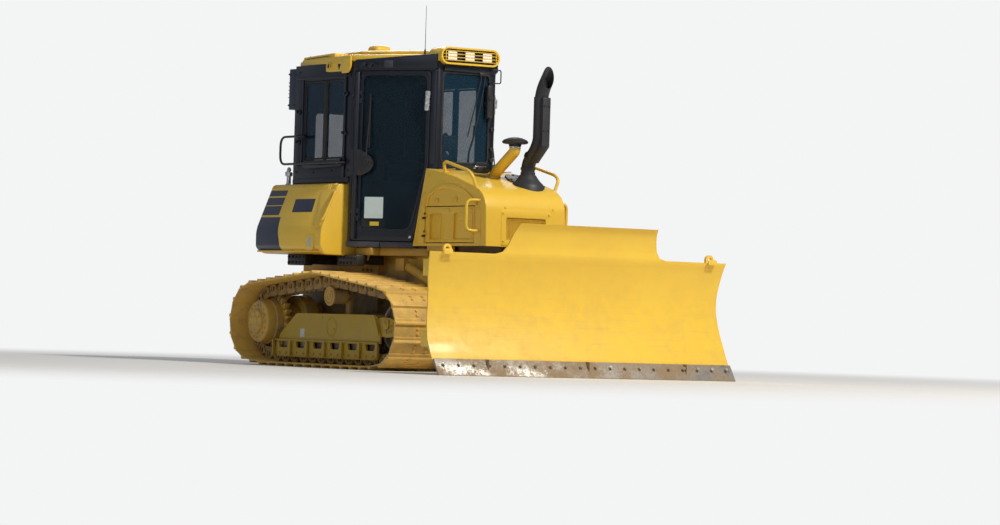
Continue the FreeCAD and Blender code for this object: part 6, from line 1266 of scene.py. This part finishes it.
fit("hood_grab_rails", hood_rail, hood_paint, stands_for=["hood_rails"], twin=True)

# Engine side doors: pressed panels with two recessed fields and a flush latch each, hinged
# at the rear. The knuckles are pins in sleeves, painted with the door.
for way, name in ((1, "right"), (-1, "left")):
    leaf = plate(oblong(0.762, 1.152, 1.558, 1.468, 0.012), -0.419, -0.403, "y", rounding=0.004,
                 holes=[oblong(0.835, 1.175, 1.015, 1.410, 0.012), [(1.232, 1.175, 0.012),
                                                                    (1.530, 1.175, 0.012),
                                                                    (1.530, 1.345, 0.02),
                                                                    (1.290, 1.345, 0.02),
                                                                    (1.290, 1.410, 0.012),
                                                                    (1.232, 1.410, 0.012)]])
    put(leaf, block((0.80, -0.404, 1.165), (1.54, -0.399, 1.425), 0.002))
    for low, high in ((0.832, 1.018), (1.229, 1.533)):
        put(leaf, plate(oblong(low - 0.004, 1.171, high + 0.004, 1.414, 0.014), -0.4235, -0.418, "y",
                        rounding=0.002, holes=[oblong(low + 0.004, 1.178, high - 0.004, 1.407, 0.010)]))
    for x, z in ((1.130, 1.440), (1.495, 1.440)):
        put(leaf, block((x - 0.030, -0.427, z - 0.014), (x + 0.030, -0.416, z + 0.014), 0.004))
    for x, z in ((0.79, 1.44), (1.54, 1.17), (1.12, 1.17)):
        put(leaf, lathe([(0, 0), (0, 0.010), (0.004, 0.009), (0.006, 0)], (x, -0.419, z), RIGHT, 14))
    for z in (1.23, 1.39):
        put(leaf, block((0.764, -0.428, z - 0.008), (0.80, -0.418, z + 0.008), 0.002))
        put(leaf, bar((0.757, -0.430, z - 0.0095), (0.757, -0.430, z + 0.0095), 0.010, sides=16))
    shape = leaf if way == 1 else other_side(leaf)
    fit("engine_door_" + name + "_panel", shape, hood_paint, body="hood_door_" + name,
        stands_for=["engine_door_" + name])

# Exhaust stack: heat-proof matt black. A flared cone sits on the hood, and above it the
# jointed pipe steps forward, stands upright behind a heat shield and turns out at the top.
stack_black = enamel("stack_black", (0.030, 0.031, 0.037), dust=0.05, rough=0.48, gloss=0.0, chips=0.0,
                     low=1.8)
foot_x, stack_x, stack_y = 1.46, 1.637, 0.20
hood_slope = Matrix(((1, 0, 0, 0), (0, 1, 0, 0), (-0.2695, 0, 1, 2.070), (0, 0, 0, 1)))
stack = plate([(1.05, 0.275, 0.03), (1.12, 0.17, 0.05), (1.28, 0.110, 0.05), (1.51, 0.110, 0.05),
               (1.575, 0.17, 0.04), (1.575, 0.29, 0.04), (1.51, 0.355, 0.05), (1.12, 0.355, 0.05)], -0.010,
              0.014, "z", rounding=0.006)
stack.transform(hood_slope)
put(stack, lathe([(-0.10, 0), (-0.10, 0.158), (0.0, 0.152), (0.020, 0.140), (0.048, 0.112), (0.075, 0.090),
                  (0.098, 0.076), (0.108, 0.066), (0.112, 0.066), (0.128, 0.066), (0.132, 0.055), (0.132, 0)],
                 (foot_x, stack_y, 1.668), UP, 48))
stack_line = [(foot_x, stack_y, 1.76), (foot_x, stack_y, 1.872), (stack_x, stack_y, 2.050),
              (stack_x, stack_y, 2.50), (1.82, stack_y, 2.734)]
stack_pipe = pipe(stack_line, 0.061, 0.105, 28, 6)
mouth = bmesh.ops.bisect_plane(stack_pipe, geom=whole(stack_pipe), dist=1e-5, plane_co=(1.738, 0, 0),
                               plane_no=AHEAD, clear_outer=True)["geom_cut"]
rim = [e for e in mouth if isinstance(e, bmesh.types.BMEdge)]
opening = bmesh.ops.contextual_create(stack_pipe, geom=rim)["faces"]
bmesh.ops.recalc_face_normals(stack_pipe, faces=stack_pipe.faces)
for lip in (0.004, 0.0005):
    bmesh.ops.inset_region(stack_pipe, faces=opening, thickness=lip, use_even_offset=True)
bmesh.ops.translate(stack_pipe, verts=list({v for f in opening for v in f.verts}), vec=(-0.080, 0, -0.102))
put(stack, stack_pipe)
put(stack, lathe([(0, 0.055), (0, 0.0635), (0.004, 0.0645), (0.356, 0.0645), (0.360, 0.0635), (0.360, 0.055)],
                 (stack_x, stack_y, 2.10), UP, 32))
for spot, course in (((1.505, stack_y, 1.930), (0.70, 0, 0.71)), ((foot_x, stack_y, 1.830), UP)):
    put(stack, lathe([(-0.012, 0.056), (-0.012, 0.066), (0.010, 0.067), (0.012, 0.056)], spot, course, 32))
shield = [(1.692, 2.455), (1.731, 2.455), (1.731, 2.018), (1.560, 1.872), (1.525, 1.905), (1.692, 2.062)]
put(stack, plate(shield, 0.160, 0.240, "y", corner=0.012, rounding=0.004))
for z in (2.16, 2.38):
    put(stack, block((1.60, 0.192, z - 0.010), (1.735, 0.208, z + 0.010), 0.003))
    bolts(stack, [(1.731, y, z) for y in (0.175, 0.225)], AHEAD, 0.008, 0.006)
flange_bolts = ((1.13, 0.26), (1.29, 0.14), (1.53, 0.14), (1.53, 0.33), (1.29, 0.335))
bolts(stack, [hood_slope @ Vector((x, y, 0.013)) for x, y in flange_bolts], (0.26, 0, 0.966), 0.010, 0.007)
fit("exhaust_stack", stack, stack_black, stands_for=["exhaust"], crease=40)

# Air intake: a painted elbow leans forward out of the hood. A bright hose clamp holds the
# round black rain cap on it, and a small black connector block sits at its foot.
intake_x, intake_y = 1.482, 0.04
elbow = pipe([(1.10, intake_y, 1.66), (1.165, intake_y, 1.780), (intake_x, intake_y, 1.976),
              (intake_x, intake_y, 2.030)], 0.050, 0.055, 28, 6)
put(elbow, lathe([(0, 0.047), (0, 0.062), (0.010, 0.060), (0.014, 0.047)], (1.155, 0.04, 1.755), (0.25, 0, 1),
                 32))
fit("intake_elbow", elbow, hood_paint, crease=40)
cap = lathe([(0, 0), (0, 0.092), (0.006, 0.112), (0.016, 0.117), (0.026, 0.115), (0.030, 0.108),
             (0.036, 0.104), (0.044, 0.085), (0.054, 0.060), (0.060, 0.030), (0.062, 0)],
            (intake_x, intake_y, 2.040), UP, 56)
put(cap, lathe([(0, 0.044), (0, 0.054), (0.022, 0.056), (0.022, 0.044)], (intake_x, intake_y, 2.018), UP, 32))
put(cap, block((1.11, -0.16, 1.782), (1.20, -0.04, 1.835), 0.012, 3))
put(cap, pipe([(1.12, -0.14, 1.80), (1.06, -0.17, 1.86), (1.10, -0.06, 1.885), (1.18, -0.02, 1.84),
               (1.19, -0.05, 1.80)], 0.006, 0.04, 8))
put(cap, pipe([(1.13, -0.10, 1.83), (1.10, -0.13, 1.875), (1.14, -0.02, 1.87), (1.17, -0.04, 1.79)], 0.005,
              0.04, 8))
fit("intake_cap", cap, moulded, stands_for=["air_intake"], crease=40)
clamp = lathe([(0, 0.048), (0, 0.0505), (0.012, 0.0505), (0.012, 0.048)], (intake_x, intake_y, 2.003), UP, 32)
put(clamp, block((1.53, 0.03, 2.003), (1.55, 0.05, 2.015), 0.002))
put(clamp, block((1.13, -0.165, 1.815), (1.16, -0.035, 1.842), 0.004))
fit("intake_clamp", clamp, bright)

# Push frame, yoke and cylinders. The frame and yoke are welded box sections; the barrels are
# painted and the rods are hard chrome, with forged eyes.
arms = ground_edges(recast("push_frame"), 0.005)
fit("push_arms", arms, hull_paint, body="push_frame_body", stands_for=["push_frame"])
yoke = ground_edges(recast("blade_yoke"), 0.005)
fit("yoke_beam", yoke, hull_paint, body="yoke_body", stands_for=["blade_yoke"])
chrome = steel("chrome", (0.62, 0.63, 0.65), 0.12, 0.12, (0.25, 0.20, 0.14))
cylinder_paint = enamel("cylinder_paint", (0.72, 0.44, 0.045), dust=0.6, rough=0.42, gloss=0.15, chips=0.2,
                        low=2.2)
for name, way in (("lift", "_right"), ("lift", "_left"), ("angle", "_right"), ("angle", "_left"),
                  ("tilt", "")):
    barrel, rod = f"{name}_barrel{way}", f"{name}_rod{way}"
    fit(f"{name}_cylinder{way}", ground_edges(recast(barrel), 0.003), cylinder_paint, body=barrel + "_body",
        stands_for=[barrel])
    fit(f"{name}_chrome_rod{way}", ground_edges(recast(rod), 0.003), chrome, body=rod + "_body",
        stands_for=[rod])

# Blade: rolled plate with a raised guard in its middle, box stiffeners and ribs behind, and a
# lifting eye near each corner. The bolted cutting edge is hardened steel, scoured bright.


def blade_enamel():
    """Enamel with long scrape marks across and dust that thickens downwards."""
    made = enamel("blade_paint", yellow, dust=0.22, rough=0.47, gloss=0.06, chips=0.06, low=1.15)
    shader = made.node_tree.nodes["Principled BSDF"]
    mix = Shade(made.node_tree)
    place = mix.node("TexCoord", out=3)
    height = mix.node("SeparateXYZ", None, {0: place}, out=2)
    drawn = mix.node("Mapping", None, {0: place, "Scale": (1.0, 0.35, 9.0)})
    scrapes = mix.speckle(drawn, 6.0, 7.0, 0.7).ramp(0.52, 0.66) * (1 - height.ramp(0.25, 1.0))
    under = Shade(mix.tree, shader.inputs["Base Color"].links[0].from_socket)
    plug(shader, {"Base Color": mix.blend(scrapes * 0.2, under, (0.50, 0.36, 0.18))})
    return made


dozer = ground_edges(recast("blade"), 0.004)
guard_foot, guard_half, guard_rise, guard_lean = 1.045, 0.95, 0.20, 0.055
for corner in dozer.verts:
    if corner.co.z > guard_foot and abs(corner.co.y) < guard_half:
        corner.co.x -= guard_lean * min(1.0, (corner.co.z - guard_foot) / guard_rise)
for y in (-1.38, 1.38):
    put(dozer, plate([(y - 0.045, 1.015, 0.01), (y + 0.045, 1.015, 0.01), (y + 0.045, 1.062, 0.02),
                      (y - 0.045, 1.062, 0.02)], 2.652, 2.664, "x", rounding=0.003))
fit("dozer_blade", dozer, blade_enamel(), body="blade_body", stands_for=["blade"],
    crease=30)
edge_steel = steel("edge_steel", (0.42, 0.40, 0.37), 0.34, 0.55, (0.30, 0.21, 0.12), scratches=1.0)
edge = ground_edges(recast("cutting_edge"), 0.003)
plough_bolt = [(0, 0), (0, 0.016), (0.003, 0.016), (0.004, 0.010), (0.002, 0)]
for n in range(20):
    put(edge, lathe(plough_bolt, (2.792, -1.47 + n * 2.94 / 19, 0.105), (0.83, 0, 0.56), 12))
for y in (-1.03, 0.0, 1.03):
    put(edge, block((2.72, y - 0.0015, 0.02), (2.80, y + 0.0015, 0.14), 0))
fit("blade_cutting_edge", edge, edge_steel, body="blade_body", stands_for=["cutting_edge"])

# The studio: a plain pale floor that fades into the background, soft light from the front and
# above, and a long lens low down off the machine's right front corner.
studio = bpy.context.scene
ground = bmesh.new()
bmesh.ops.create_grid(ground, x_segments=1, y_segments=1, size=60)
ground_mesh = bpy.data.meshes.new("floor")
ground.to_mesh(ground_mesh)
ground.free()
floor = bpy.data.objects.new("floor", ground_mesh)
studio.collection.objects.link(floor)
pale = (0.90, 0.905, 0.91)
floor_finish, shader, mix, place = new_finish("pale_floor")
cloud = mix.speckle(place, 1.5).ramp(0.3, 0.7) * 0.5
plug(shader, {"Base Color": mix.blend(cloud, (0.84, 0.83, 0.81), (0.80, 0.79, 0.77)), "Roughness": 0.85})
away = mix.node("VectorMath", {"operation": "LENGTH"}, {0: place}, out=1).ramp(4.5, 11.0)
glow = mix.node("Emission", None, {"Color": (*pale, 1), "Strength": 1.0})
faded = mix.node("MixShader", None, {0: away * mix.node("LightPath"), 1: Shade(mix.tree, shader.outputs[0]),
                                     2: glow})
plug(floor_finish.node_tree.nodes["Material Output"], {"Surface": faded})
ground_mesh.materials.append(floor_finish)

studio.world = bpy.data.worlds.new("sky")
studio.world.use_nodes = True
mix = Shade(studio.world.node_tree)
rays = mix.node("LightPath").socket.node.outputs
straight = Shade(mix.tree, rays["Is Camera Ray"]) + Shade(mix.tree, rays["Is Transmission Ray"])
plain = straight.maths("MINIMUM", straight, 1.0)
plug(mix.tree.nodes["Background"], {"Color": mix.blend(plain, (0.80, 0.87, 1.0), pale),
                                    "Strength": plain * 0.75 + 0.25})

for name, place, energy, size, colour in (
    ("key", (16.5, 3.5, 17.5), 4200, 3.0, (1.0, 0.95, 0.86)),
    ("fill", (5.0, -14.0, 6.0), 120, 7.0, (0.90, 0.95, 1.0)),
    ("rim", (-9.0, 5.0, 8.0), 260, 4.0, (1.0, 0.98, 0.94)),
):
    lamp = bpy.data.objects.new(name, bpy.data.lights.new(name, "AREA"))
    studio.collection.objects.link(lamp)
    lamp.data.energy, lamp.data.size, lamp.data.color = energy, size, colour
    aim_at = Vector((0, 0, 1.3)) - Vector(place)
    turn = Vector((0, 0, -1)).rotation_difference(aim_at).to_matrix().to_4x4()
    lamp.matrix_world = Matrix.Translation(place) @ turn

azimuth, elevation, roll = (math.radians(angle) for angle in (56.565, -0.959, 1.755))
camera_distance, aim_height, aim_shift = 34.038, 1.007, 0.748
level_reach = math.cos(elevation)
back = Vector((math.sin(azimuth) * level_reach, -math.cos(azimuth) * level_reach, math.sin(elevation)))
level = (-back).cross(Vector(UP)).normalized()
upright = level.cross(-back)
across = math.cos(roll) * level + math.sin(roll) * upright
above = math.cos(roll) * upright - math.sin(roll) * level
aim = Vector((mid, 0, aim_height)) + aim_shift * Vector((level.x, level.y, 0))
camera = bpy.data.objects.new("camera", bpy.data.cameras.new("camera"))
studio.collection.objects.link(camera)
camera.data.sensor_width = 36
camera.data.lens = 133.375
camera.data.clip_end = 200
camera.matrix_world = Matrix.Translation(aim + back * camera_distance) @ axes(across, above, back)
studio.camera = camera
studio.view_settings.view_transform = "Standard"
